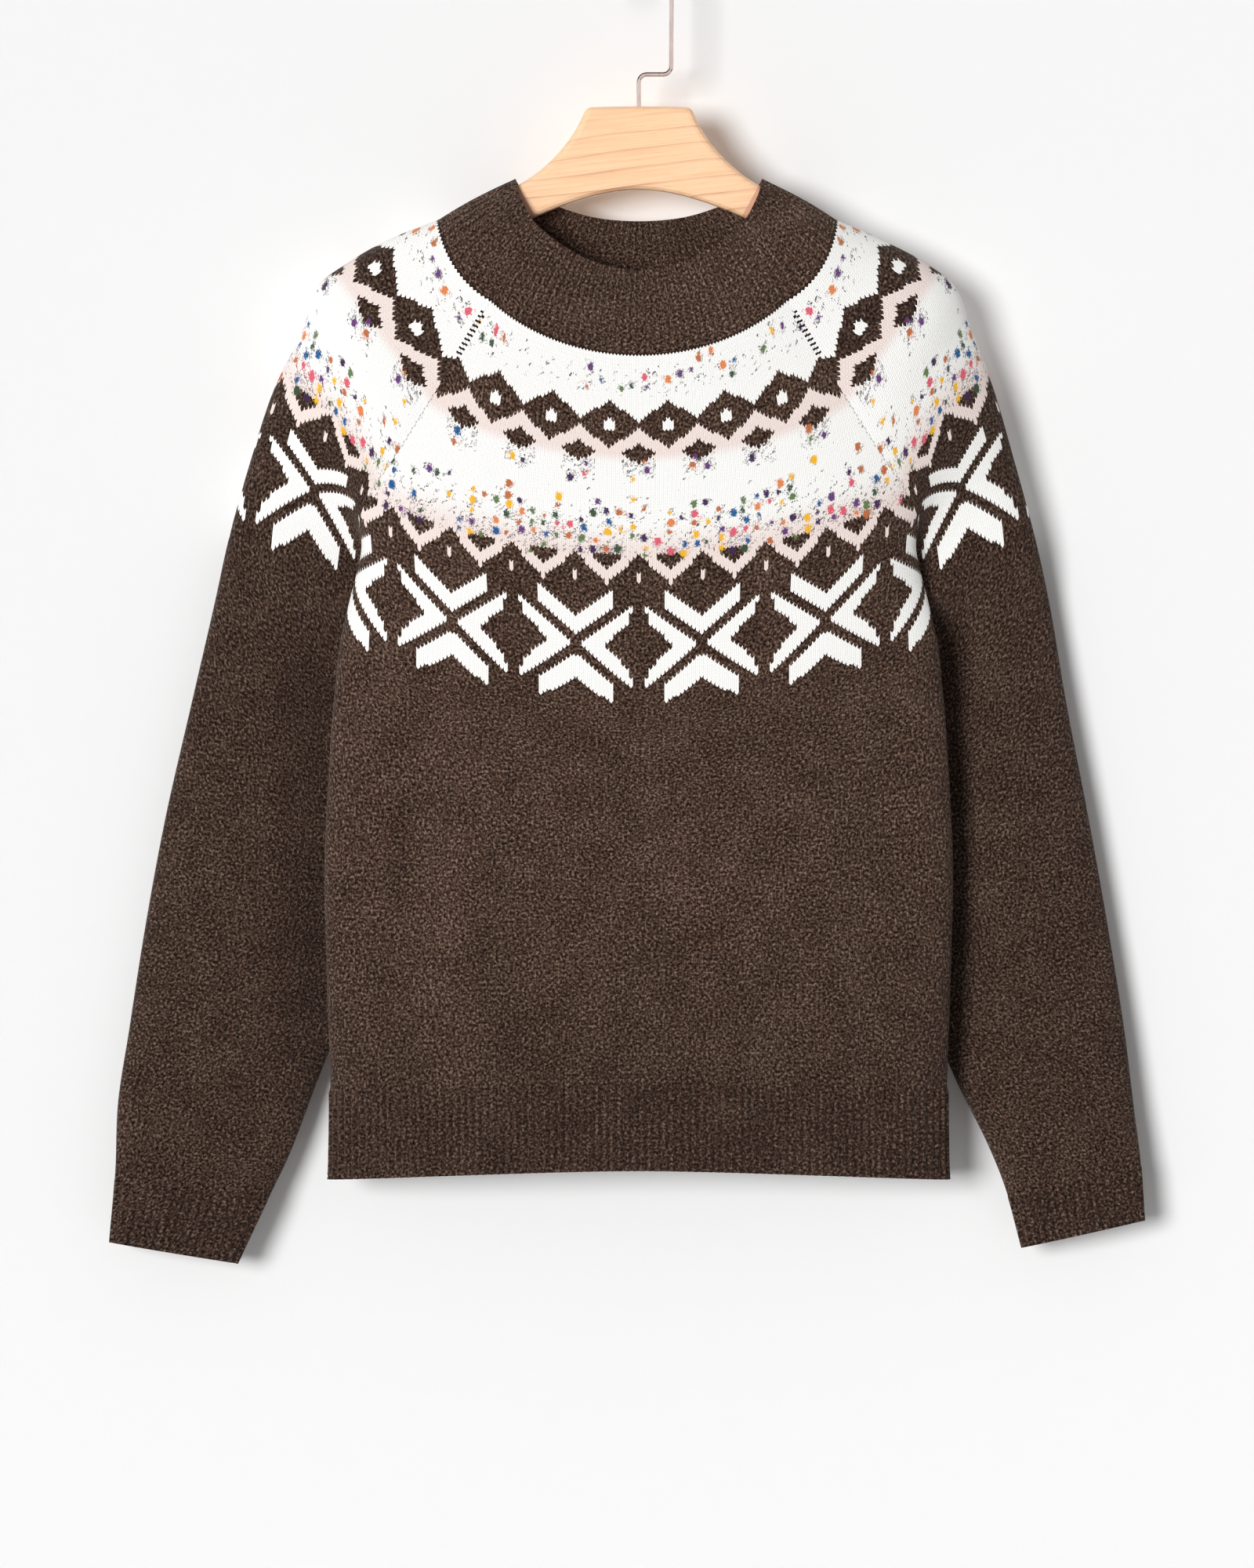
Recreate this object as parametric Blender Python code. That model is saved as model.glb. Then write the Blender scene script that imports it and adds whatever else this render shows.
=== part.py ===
"""Fair isle jumper on a wooden hanger: raglan panels, ribbed collar, beech board and wire hook.

Metres, +Z up, the front faces -Y, and the wearer's right is at -X. The origin is the inside
of the top of the hook, where a rail carries it. The cloth is an outer net of rows and columns:
rows are rounds of knitting, which run about the neck and down the body and the sleeves, and
columns run down from the collar. Each panel is a wall on its own part of that net, and panels
share the net's points and normals at their seams, where each stops short by half the seam gap.
"""

import math
from collections import namedtuple

import bpy
import numpy as np

WALL = 0.0024  # knitted cloth
COLLAR_WALL = 0.0030  # rib is thicker than plain knit
SEAM_GAP = 0.0003
FIT_GAP = 0.0003
UNDERARM_GAP = 0.005  # each panel stops this far short of the point where all four meet
RIB_RISE = 0.0009
NORMAL_TURNS = 80  # steps in finding a normal that suits all the cells about a point
SHARPEST_FOLD = 0.35  # the least cosine of a fold that widens a seam's gap
THICKEST_MITRE = 1.6  # a wall is offset at most this many times its thickness at a crease
LEAST_COSINE = 0.2

HEM_RIBS, CUFF_RIBS = 90, 34  # on each body panel, and round each cuff
COLLAR_RIB_POINTS = {"front": 4, "left": 3, "back": 4, "right": 3}  # for each of the net's columns
COLLAR_ROWS = 4
RIB_BAND = (0.04, 0.5, 1)  # rows of a band of ribs, as shares of its depth

UNDERARM, HEM_RIB_TOP, HEM_FOOT = 1.0, 2.85, 3.3  # places of rounds down the body
CUFF_RIB_TOP, CUFF_FOOT = 2.87, 3.07  # the same down a sleeve
YOKE_ROUNDS = (0, 0.1, 0.2, 0.3, 0.38, 0.47, 0.56, 0.66, 0.76, 0.84, 0.92, UNDERARM)
BODY_ROUNDS = (1.1, 1.25, 1.45, 1.7, 2.0, 2.35, HEM_RIB_TOP)
SLEEVE_ROUNDS = (1.08, 1.18, 1.49, 1.83, 2.15, 2.46, 2.68, CUFF_RIB_TOP)
# How far along half a round each column stands: of the front and the back from the middle to the
# seam, closer where the cloth turns back at the side, and of a sleeve from the seam to the fold.
FRONT_SPACING = (0, 0.13, 0.26, 0.39, 0.51, 0.62, 0.72, 0.81, 0.88, 0.94, 1)
BACK_SPACING = (0, 0.14, 0.28, 0.42, 0.56, 0.69, 0.81, 0.91, 1)
SLEEVE_SPACING = (0, 0.155, 0.31, 0.465, 0.61, 0.75, 0.88, 1)

# Half a round of the front or the back: a curve from its middle, level for reach, bending at
# turn and ending at the seam. Metres, for the side at +X.
Round = namedtuple("Round", "at mid_y mid_z reach turn_x turn_y turn_z seam_x seam_y seam_z")
FRONT = [
    Round(0.00, -0.042, -0.2505, 0.0375, 0.0715, -0.040, -0.2365, 0.0935, -0.033, -0.2155),
    Round(0.19, -0.043, -0.2920, 0.0425, 0.0880, -0.041, -0.2790, 0.1190, -0.034, -0.2580),
    Round(0.42, -0.042, -0.3425, 0.0525, 0.1075, -0.040, -0.3305, 0.1485, -0.031, -0.3055),
    Round(0.646, -0.041, -0.3920, 0.0625, 0.1480, -0.040, -0.3730, 0.1770, -0.024, -0.3520),
    Round(0.82, -0.041, -0.4300, 0.0650, 0.2030, -0.038, -0.3990, 0.1750, -0.009, -0.3790),
    Round(1.00, -0.040, -0.4695, 0.0650, 0.2320, -0.037, -0.4320, 0.1770, -0.004, -0.4155),
    Round(1.25, -0.040, -0.4980, 0.0650, 0.2275, -0.036, -0.4680, 0.1875, -0.003, -0.4630),
    Round(1.60, -0.040, -0.5580, 0.0650, 0.2300, -0.036, -0.5480, 0.1940, -0.004, -0.5430),
    Round(2.30, -0.039, -0.6430, 0.0650, 0.2290, -0.036, -0.6440, 0.1940, -0.002, -0.6430),
    Round(2.85, -0.037, -0.7155, 0.0650, 0.2250, -0.034, -0.7215, 0.1920, 0.000, -0.7205),
    Round(3.30, -0.033, -0.7685, 0.0650, 0.2260, -0.030, -0.7765, 0.1930, 0.001, -0.7745),
]
SIDE_SEAM = [(r.at, r.seam_x, r.seam_y, r.seam_z) for r in FRONT if r.at >= UNDERARM]
BACK = [
    Round(0.00, 0.024, -0.2130, 0.0375, 0.0650, 0.024, -0.2090, 0.0875, 0.020, -0.1970),
    Round(0.19, 0.027, -0.2580, 0.0400, 0.0825, 0.027, -0.2490, 0.1090, 0.025, -0.2390),
    Round(0.42, 0.029, -0.3130, 0.0500, 0.1000, 0.030, -0.3060, 0.1325, 0.028, -0.2905),
    Round(0.646, 0.030, -0.3680, 0.0600, 0.1200, 0.031, -0.3590, 0.1525, 0.026, -0.3430),
    Round(0.82, 0.030, -0.4105, 0.0625, 0.1400, 0.027, -0.3990, 0.1715, 0.013, -0.3805),
    Round(1.00, 0.029, -0.4530, 0.0650, 0.1500, 0.008, -0.4290, 0.1770, -0.004, -0.4155),
    Round(1.25, 0.029, -0.4880, 0.0650, 0.1580, 0.009, -0.4705, 0.1875, -0.003, -0.4630),
    Round(1.60, 0.029, -0.5505, 0.0650, 0.1600, 0.010, -0.5455, 0.1940, -0.004, -0.5430),
    Round(2.30, 0.029, -0.6405, 0.0650, 0.1650, 0.020, -0.6430, 0.1940, -0.002, -0.6430),
    Round(2.85, 0.027, -0.7130, 0.0650, 0.1750, 0.024, -0.7200, 0.1920, 0.000, -0.7205),
    Round(3.30, 0.024, -0.7660, 0.0650, 0.1760, 0.022, -0.7730, 0.1930, 0.001, -0.7745),
]

# The fold along the top of a shoulder and the outer edge of a sleeve, with how far the cloth
# reaches forward and back of it before it turns down.
Ridge = namedtuple("Ridge", "at right_x left_x y z reach")
RIDGE = [
    Ridge(0.00, 0.1275, 0.1255, 0.000, -0.1630, 0.022),
    Ridge(0.13, 0.1600, 0.1550, 0.000, -0.1760, 0.024),
    Ridge(0.25, 0.1855, 0.1825, 0.000, -0.1905, 0.026),
    Ridge(0.345, 0.2050, 0.2015, 0.001, -0.2055, 0.026),
    Ridge(0.45, 0.2135, 0.2115, 0.003, -0.2310, 0.020),
    Ridge(0.60, 0.2315, 0.2255, 0.006, -0.2675, 0.017),
    Ridge(0.80, 0.2480, 0.2400, 0.009, -0.3165, 0.018),
    Ridge(1.00, 0.2620, 0.2535, 0.012, -0.3660, 0.018),
]

# Where a round of the sleeve head heads for as it leaves the raglan seam, front and back.
Lead = namedtuple("Lead", "at front_x front_y front_z back_x back_y back_z")
LEADS = [
    Lead(0.00, 0.1075, -0.028, -0.1980, 0.1075, 0.020, -0.1855),
    Lead(0.19, 0.1350, -0.032, -0.2430, 0.1310, 0.026, -0.2255),
    Lead(0.42, 0.1650, -0.032, -0.2790, 0.1560, 0.031, -0.2730),
    Lead(0.646, 0.1830, -0.024, -0.3050, 0.1725, 0.036, -0.3280),
    Lead(0.82, 0.1925, -0.006, -0.3500, 0.1790, 0.038, -0.3630),
    Lead(1.00, 0.2030, 0.005, -0.3930, 0.1760, 0.041, -0.4110),
]

# The sleeve below the underarm: its outer and inner folds, and half its thickness.
Ring = namedtuple("Ring", "at out_x out_z in_x in_z y half")
RINGS = {
    "right": [
        Ring(1.18, 0.2710, -0.4055, 0.1680, -0.4480, 0.0185, 0.0130),
        Ring(1.49, 0.2865, -0.4730, 0.1590, -0.5070, 0.0175, 0.0140),
        Ring(1.83, 0.3030, -0.5455, 0.1625, -0.5805, 0.017, 0.0145),
        Ring(2.15, 0.3155, -0.6130, 0.1810, -0.6480, 0.017, 0.0140),
        Ring(2.46, 0.3260, -0.6805, 0.2055, -0.7130, 0.015, 0.0130),
        Ring(2.68, 0.3330, -0.7280, 0.2225, -0.7580, 0.012, 0.0115),
        Ring(2.87, 0.3345, -0.7705, 0.2350, -0.7845, 0.009, 0.0095),
        Ring(3.07, 0.3380, -0.8155, 0.2560, -0.8290, 0.006, 0.0085),
    ],
    "left": [
        Ring(1.18, 0.2620, -0.4030, 0.1680, -0.4470, 0.0185, 0.0130),
        Ring(1.49, 0.2735, -0.4705, 0.1580, -0.5055, 0.0175, 0.0140),
        Ring(1.83, 0.2875, -0.5430, 0.1610, -0.5755, 0.017, 0.0145),
        Ring(2.15, 0.3000, -0.6130, 0.1780, -0.6455, 0.017, 0.0140),
        Ring(2.46, 0.3110, -0.6830, 0.2020, -0.7105, 0.015, 0.0130),
        Ring(2.68, 0.3165, -0.7295, 0.2225, -0.7520, 0.012, 0.0115),
        Ring(2.87, 0.3205, -0.7620, 0.2345, -0.7820, 0.009, 0.0095),
        Ring(3.07, 0.3230, -0.8015, 0.2445, -0.8190, 0.006, 0.0085),
    ],
}
RING_FULLNESS = 4 / 3  # a curve's handles reach this much further than the curve

# The collar's upper edge, from the middle of the front (0) by the raglan seam (1), the top of
# the shoulder (2) and the back raglan seam (3) to the middle of the back (4).
Brim = namedtuple("Brim", "at x y z")
BRIM = [
    Brim(-0.5, -0.033, -0.0205, -0.1890),
    Brim(0.0, 0.0000, -0.0210, -0.1965),
    Brim(0.5, 0.0330, -0.0205, -0.1890),
    Brim(1.0, 0.0625, -0.0180, -0.1695),
    Brim(1.5, 0.0750, -0.0140, -0.1500),
    Brim(1.8, 0.0782, -0.0085, -0.1405),
    Brim(2.0, 0.0787, 0.0000, -0.1370),
    Brim(2.2, 0.0775, 0.0085, -0.1390),
    Brim(2.5, 0.0730, 0.0135, -0.1445),
    Brim(3.0, 0.0550, 0.0155, -0.1525),
    Brim(3.5, 0.0290, 0.0165, -0.1605),
    Brim(4.0, 0.0000, 0.0170, -0.1630),
    Brim(4.5, -0.0290, 0.0165, -0.1605),
]
BRIM_PEAK = BRIM[6]
COLLAR_BULGE = 0.002  # how far the collar bows outwards between its edges
COLLAR_RISE = 0.4  # the upward part of that bow, against its part away from the neck

# Broad soft folds of the hanging cloth: a line from head to foot, and how far it stands out.
Fold = namedtuple("Fold", "panel head_x head_z foot_x foot_z width rise")
FOLDS = [
    Fold("front", -0.150, -0.430, -0.138, -0.690, 0.022, -0.0028),
    Fold("front", -0.105, -0.460, -0.112, -0.700, 0.024, 0.0020),
    Fold("front", 0.152, -0.430, 0.146, -0.690, 0.022, -0.0024),
    Fold("front", 0.112, -0.470, 0.106, -0.690, 0.024, 0.0016),
    Fold("front", 0.020, -0.480, 0.030, -0.680, 0.030, -0.0012),
    Fold("back", -0.085, -0.330, -0.070, -0.690, 0.026, -0.0026),
    Fold("back", 0.090, -0.340, 0.080, -0.680, 0.026, -0.0024),
    Fold("back", 0.004, -0.420, 0.000, -0.700, 0.028, 0.0020),
]

# The board, as half of its outline at +X; its arm follows the shoulder from where it is hidden.
BOARD_THICK = 0.012
BOARD_EDGE = 0.0040  # rounding of its edges and of its top corners
BOARD_STEPS = 14  # points along the flare and along the arch
ARM_DROP = 0.0045  # the cloth's outside above the arm's top edge
ARM_DEPTH_NECK, ARM_DEPTH_TIP = 0.023, 0.014
ARM_TIP_AT = 0.3  # the round over the end of the arm
ARM_TIP_ROUND = 0.15  # how far the end bows out, as a share of its depth
Corner = namedtuple("Corner", "x z")
BOARD_TOP = [Corner(0.0, -0.0910), Corner(0.0180, -0.0912)]
# Handles of the curves from the top's corner out to the arm, and from the middle of the arch.
BOARD_FLARE = [Corner(0.0338, -0.0917), Corner(0.0390, -0.1090), Corner(0.0560, -0.1300)]
BOARD_ARCH = [Corner(0.0, -0.1440), Corner(0.0230, -0.1440), Corner(0.0480, -0.1535)]

WIRE = 0.0015  # radius
BORE_DEEP = 0.030
HOOK_RADIUS = 0.021
HOOK_END_Z = -0.0205
CRANK_X, CRANK_Z = 0.0207, -0.0704  # the offset step in the wire
CRANK_BEND = 0.005
BEND_STEPS, HOOK_STEPS = 5, 22

BROWN, BEECH, STEEL = (0.062, 0.043, 0.035), (0.83, 0.55, 0.33), (0.62, 0.62, 0.63)


def read(table, at):
    """The table's values at this place, on a smooth curve through its rows."""
    rows = np.array(table, float)
    places, values = rows[:, 0], rows[:, 1:]
    slopes = np.gradient(values, places, axis=0)
    i = int(np.clip(np.searchsorted(places, at) - 1, 0, len(places) - 2))
    span = places[i + 1] - places[i]
    t = (at - places[i]) / span
    ease = t * t * (3 - 2 * t)
    swing = t * (1 - t) * span
    blend = values[i] * (1 - ease) + values[i + 1] * ease
    return blend + swing * ((1 - t) * slopes[i] - t * slopes[i + 1])


def bend(a, b, c, d, fine=48):
    """Points along the cubic curve with these four handles."""
    t = np.linspace(0, 1, fine + 1)[:, None]
    return (1 - t) ** 3 * a + 3 * (1 - t) ** 2 * t * b + 3 * (1 - t) * t**2 * c + t**3 * d


def spread(line, shares):
    """Points at these shares of the line's length."""
    run = np.concatenate([[0], np.cumsum(np.linalg.norm(np.diff(line, axis=0), axis=1))])
    return np.array([[np.interp(s * run[-1], run, line[:, k]) for k in range(3)] for s in shares])


def half_round(table, at, spacing):
    """The points of a body panel's round, from its middle to its seam at +X."""
    r = Round(at, *read(table, at))
    middle = np.array([0, r.mid_y, r.mid_z])
    level = np.array([r.reach, r.mid_y, r.mid_z])
    turn = np.array([r.turn_x, r.turn_y, r.turn_z])
    seam = np.array([r.seam_x, r.seam_y, r.seam_z])
    if at > UNDERARM:
        seam = read(SIDE_SEAM, at)
    return spread(bend(middle, level, turn, seam), spacing)


def folded(points, panel):
    """The points with the panel's soft folds pressed into them."""
    outward = -1 if panel == "front" else 1
    seams_hold = 1 - np.abs(np.linspace(-1, 1, len(points))) ** 8
    for fold in FOLDS:
        if fold.panel == panel:
            down = np.clip((fold.head_z - points[:, 2]) / (fold.head_z - fold.foot_z), 0, 1)
            line = fold.head_x + (fold.foot_x - fold.head_x) * down
            across = np.exp(-(((points[:, 0] - line) / fold.width) ** 2))
            points[:, 1] += outward * fold.rise * across * seams_hold * np.sin(math.pi * down)
    return points


def body_round(panel, at):
    """A whole round of the front, from -X to +X, or of the back, from +X to -X."""
    front = panel == "front"
    half = half_round(FRONT, at, FRONT_SPACING) if front else half_round(BACK, at, BACK_SPACING)
    other = half * (-1, 1, 1)
    points = np.vstack([other[::-1], half[1:]])
    points = folded(points, panel)
    return points if front else points[::-1]


def sleeve_handles(side, at):
    """The seven handles of a sleeve's round at +X: front seam, lead, over, fold and back again."""
    rings = RINGS[side]
    ridges = [(r.at, getattr(r, side + "_x"), r.y, r.z, r.reach) for r in RIDGE]
    ridges += [(r.at, r.out_x, r.y, r.out_z, r.half * RING_FULLNESS) for r in rings]
    fold_x, fold_y, fold_z, reach = read(ridges, at)
    if at <= UNDERARM:
        fronts = read([(r.at, r.seam_x, r.seam_y, r.seam_z) for r in FRONT], at)
        backs = read([(r.at, r.seam_x, r.seam_y, r.seam_z) for r in BACK], at)
    else:
        inner = [(r.at, r.in_x, r.y, r.in_z) for r in rings]
        fronts = backs = read(SIDE_SEAM[:1] + inner, at)
    front_leads = [(r.at, r.front_x, r.front_y, r.front_z) for r in LEADS]
    back_leads = [(r.at, r.back_x, r.back_y, r.back_z) for r in LEADS]
    front_leads += [(r.at, r.in_x, r.y - r.half * RING_FULLNESS, r.in_z) for r in rings]
    back_leads += [(r.at, r.in_x, r.y + r.half * RING_FULLNESS, r.in_z) for r in rings]
    fold = np.array([fold_x, fold_y, fold_z])
    over = np.array([0, reach, 0])
    return (
        fronts,
        read(front_leads, at),
        fold - over,
        fold,
        fold + over,
        read(back_leads, at),
        backs,
    )


def sleeve_round(side, at):
    """A whole round of a sleeve, in the order in which the rounds go about the body."""
    a, b, c, d, e, f, g = sleeve_handles(side, at)
    front = spread(bend(a, b, c, d), SLEEVE_SPACING)
    back = spread(bend(g, f, e, d), SLEEVE_SPACING)
    points = np.vstack([front, back[::-1][1:]])
    if at > UNDERARM:
        points[-1] = points[0]
    return points if side == "left" else points[::-1] * (-1, 1, 1)


def yoke_and_below():
    """The outer net of each panel, rounds by columns."""
    hem = tuple(HEM_RIB_TOP + (HEM_FOOT - HEM_RIB_TOP) * share for share in RIB_BAND)
    cuff = tuple(CUFF_RIB_TOP + (CUFF_FOOT - CUFF_RIB_TOP) * share for share in RIB_BAND)
    body, arms = YOKE_ROUNDS + BODY_ROUNDS + hem, YOKE_ROUNDS + SLEEVE_ROUNDS + cuff
    return {
        "front": np.array([body_round("front", at) for at in body]),
        "left": np.array([sleeve_round("left", at) for at in arms]),
        "back": np.array([body_round("back", at) for at in body]),
        "right": np.array([sleeve_round("right", at) for at in arms]),
    }


def brim_places(panel, neck):
    """Where along the brim the points of a panel's neck edge stand, each half by its length."""
    start = {"front": -1, "left": 1, "back": 3, "right": 5}[panel]
    middle = len(neck) // 2
    halves = shares_along(neck[: middle + 1]), 1 + shares_along(neck[middle:])
    return start + np.concatenate([halves[0][:-1], halves[1]])


def brim_point(place):
    """A point of the collar's upper edge; places past the middle of the back are mirrored."""
    if place > 4:
        place, side = 8 - place, -1
    elif place < 0:
        place, side = -place, -1
    else:
        side = 1
    return read(BRIM, place) * (side, 1, 1)


def shares_along(line):
    """How far along the line each of its points stands, from 0 to 1."""
    run = np.concatenate([[0], np.cumsum(np.linalg.norm(np.diff(line, axis=0), axis=1))])
    return run / run[-1]


def collar_net(nets, rib_points):
    """The collar's outer net, from its brim down to the panels, closed about the neck."""
    foot, brim = [], []
    for panel in ("front", "left", "back", "right"):
        neck = nets[panel][0]
        places = brim_places(panel, neck)
        steps = rib_points[panel]
        for j in range(len(neck) - 1):
            for k in range(steps):
                part = k / steps
                foot.append(neck[j] * (1 - part) + neck[j + 1] * part)
                brim.append(brim_point(places[j] * (1 - part) + places[j + 1] * part))
    foot, brim = np.array(foot + foot[:1]), np.array(brim + brim[:1])
    rows = []
    for down in np.linspace(0, 1, COLLAR_ROWS + 1):
        row = brim * (1 - down) + foot * down
        away = row - row.mean(axis=0)
        away[:, 2] *= COLLAR_RISE
        away /= np.linalg.norm(away, axis=1)[:, None]
        rows.append(row + away * COLLAR_BULGE * math.sin(math.pi * down))
    return np.array(rows)


def key(point):
    return tuple(np.round(point * 1e6).astype(int))


def add_normals(net, sums):
    """Adds the unit normals of the net's cells to their corners, in a dictionary by place."""
    down = net[1:, :-1] - net[:-1, 1:]
    across = net[1:, 1:] - net[:-1, :-1]
    cells = np.cross(down, across)
    sizes = np.linalg.norm(cells, axis=2, keepdims=True)
    cells = cells / np.maximum(sizes, 1e-12)
    for i, j in np.ndindex(cells.shape[:2]):
        for corner in (net[i, j], net[i, j + 1], net[i + 1, j], net[i + 1, j + 1]):
            sums.setdefault(key(corner), []).append(cells[i, j])


def net_normals(net, sums):
    """Each point's outward normal, as square to all its cells as it can be, and the least cosine.

    At the underarm, where four folded panels meet, a panel goes by its own cells alone.
    """
    normals, folds, own = np.zeros_like(net), np.zeros(net.shape[:2]), {}
    add_normals(net, own)
    for i, j in np.ndindex(net.shape[:2]):
        place = key(net[i, j])
        cells = np.array((own if len(sums[place]) > 4 else sums)[place])
        normal = cells.mean(axis=0)
        for turn in range(NORMAL_TURNS):
            worst = cells[np.argmin(cells @ normal)]
            normal = normal / np.linalg.norm(normal) + worst / (turn + 2)
        normals[i, j] = normal / np.linalg.norm(normal)
        folds[i, j] = max((cells @ normals[i, j]).min(), LEAST_COSINE)
    return normals, folds


def inset(net, folds, edges, underarm, beside):
    """Moves the net's edges in by half the seam gap, further where the cloth is folded sharply."""
    moved = net.copy()
    for at, towards in edges:
        step = net[towards] - net[at]
        step /= np.linalg.norm(step, axis=-1, keepdims=True)
        moved[at] += step * (SEAM_GAP / 2 / np.maximum(folds[at], SHARPEST_FOLD))[..., None]
    for end, near in ((0, beside), (-1, -1 - beside)):
        step = net[underarm + 1 - min(beside, 1), near] - net[underarm, end]
        moved[underarm, end] = net[underarm, end] + step / np.linalg.norm(step) * UNDERARM_GAP
    return moved


def inner_net(net, normals, folds, wall):
    """The plain inside of the wall."""
    return net - normals * (wall * np.minimum(1 / folds, THICKEST_MITRE))[..., None]


class Shell:
    """A closed mesh made of rows of points, bridged in order."""

    def __init__(self):
        self.points, self.faces = [], []

    def row(self, points):
        start = len(self.points)
        self.points += [tuple(map(float, p)) for p in points]
        return list(range(start, len(self.points)))

    def bridge(self, upper, lower, turned=False):
        """Faces between two rows, which may have different numbers of points."""
        if len(upper) == len(lower):
            for j in range(len(upper) - 1):
                self.face(upper[j], lower[j], lower[j + 1], turned)
                self.face(upper[j], lower[j + 1], upper[j + 1], turned)
            return
        above, below = (shares_along(np.array([self.points[k] for k in r])) for r in (upper, lower))
        j = k = 0
        while j < len(upper) - 1 or k < len(lower) - 1:
            down = j == len(upper) - 1
            if not down and k < len(lower) - 1:
                down = below[k] + below[k + 1] < above[j] + above[j + 1]
            if down:
                self.face(upper[j], lower[k], lower[k + 1], turned)
                k += 1
            else:
                self.face(upper[j], lower[k], upper[j + 1], turned)
                j += 1

    def face(self, a, b, c, turned):
        self.faces.append((a, c, b) if turned else (a, b, c))

    def wall(self, outer, inner, open_sides):
        """A wall between rows of outer and inner points, closed along its edges.

        Two panels that meet at a seam split their edge faces along the same diagonals.
        """
        for i in range(len(outer) - 1):
            self.bridge(outer[i], outer[i + 1])
            self.bridge(inner[i], inner[i + 1], turned=True)
        self.bridge(inner[0], outer[0])
        self.bridge(inner[-1], outer[-1], turned=True)
        if open_sides:
            for end, turned in ((0, False), (-1, True)):
                outer_side = [row[end] for row in outer[:open_sides]]
                inner_side = [row[end] for row in inner[:open_sides]]
                self.bridge(outer_side, inner_side, turned)


def finish(name, points, faces, material):
    """A named object from the mesh, with touching points joined and round faces smooth."""
    mesh = bpy.data.meshes.new(name)
    mesh.from_pydata(points, [], faces)
    item = bpy.data.objects.new(name, mesh)
    bpy.context.scene.collection.objects.link(item)
    for other in bpy.context.selected_objects:
        other.select_set(False)
    bpy.context.view_layer.objects.active = item
    item.select_set(True)
    bpy.ops.object.mode_set(mode="EDIT")
    bpy.ops.mesh.select_all(action="SELECT")
    bpy.ops.mesh.remove_doubles(threshold=2e-6)
    bpy.ops.object.mode_set(mode="OBJECT")
    mesh.shade_smooth()
    mesh.set_sharp_from_angle(angle=math.radians(40))
    mesh.materials.append(material)
    return item


def plain_material(name, colour, rough, metallic=0.0):
    material = bpy.data.materials.new(name)
    material.use_nodes = True
    shader = material.node_tree.nodes["Principled BSDF"]
    shader.inputs["Base Color"].default_value = (*colour, 1)
    shader.inputs["Roughness"].default_value = rough
    shader.inputs["Metallic"].default_value = metallic
    return material


def ribbed(points, normals, ribs):
    """A row with two points to each rib, evenly spaced, every second one raised."""
    run, even = shares_along(points), np.linspace(0, 1, 2 * ribs + 1)
    row = np.stack([np.interp(even, run, points[:, k]) for k in range(3)], axis=1)
    out = np.stack([np.interp(even, run, normals[:, k]) for k in range(3)], axis=1)
    return row + out * (np.arange(len(even)) % 2 * RIB_RISE)[:, None]


def sew(name, net, normals, folds, ribs, open_sides, material):
    """A panel's wall, with a band of ribs on its lowest rows."""
    closed = open_sides < len(net)
    down = np.arange(open_sides)
    edges = [((0, slice(1, -1)), (1, slice(1, -1)))]
    edges += [((down[1:], 0), (down[1:], 1)), ((down[1:], -1), (down[1:], -2))]
    edges += [((0, 0), (1, 1)), ((0, -1), (1, -2))]
    outer = inset(net, folds, edges, len(YOKE_ROUNDS) - 1, 0 if closed else 1)
    inner = inner_net(outer, normals, folds, WALL)
    shell = Shell()
    plain = len(net) - len(RIB_BAND)
    outer_rows = [shell.row(row) for row in outer[:plain]]
    outer_rows += [shell.row(ribbed(row, out, ribs)) for row, out in zip(outer[plain:], normals[plain:])]
    inner_rows = [shell.row(row) for row in inner]
    shell.wall(outer_rows, inner_rows, open_sides)
    return finish(name, shell.points, shell.faces, material)


def make_cloth():
    brown = plain_material("brown_wool", BROWN, 0.95)
    nets = yoke_and_below()
    coarse = collar_net(nets, dict.fromkeys(nets, 1))
    sums = {}
    for net in (*nets.values(), coarse):
        add_normals(net, sums)
    names = {"front": "front", "back": "back", "left": "sleeve_left", "right": "sleeve_right"}
    for panel, net in nets.items():
        normals, folds = net_normals(net, sums)
        body = panel in ("front", "back")
        ribs = HEM_RIBS if body else CUFF_RIBS
        sew(names[panel], net, normals, folds, ribs, len(net) if body else len(YOKE_ROUNDS), brown)
    make_collar(nets, coarse, sums, brown)


def make_collar(nets, coarse, sums, material):
    """The collar, ribbed on both faces."""
    net = collar_net(nets, COLLAR_RIB_POINTS)
    normals, folds = net_normals(coarse, sums)
    steps = [COLLAR_RIB_POINTS[p] for p in nets for _ in range(len(nets[p][0]) - 1)]
    out = []
    for row in normals:
        line = []
        for j, count in enumerate(steps):
            line += [row[j] * (1 - k / count) + row[j + 1] * k / count for k in range(count)]
        out.append(line + line[:1])
    out = np.array(out)
    out /= np.linalg.norm(out, axis=2, keepdims=True)
    lift = (net[-2] - net[-1]) / np.linalg.norm(net[-2] - net[-1], axis=1)[:, None]
    net[-1] += lift * SEAM_GAP / 2
    raised = (np.arange(net.shape[1]) % 2)[None, :, None]
    outer = net + out * RIB_RISE * (raised - 1)
    inner = net - out * (COLLAR_WALL + RIB_RISE * (raised - 1))
    shell = Shell()
    outer_rows = [shell.row(row) for row in outer]
    inner_rows = [shell.row(row) for row in inner]
    shell.wall(outer_rows, inner_rows, 0)
    return finish("collar", shell.points, shell.faces, material)


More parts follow.
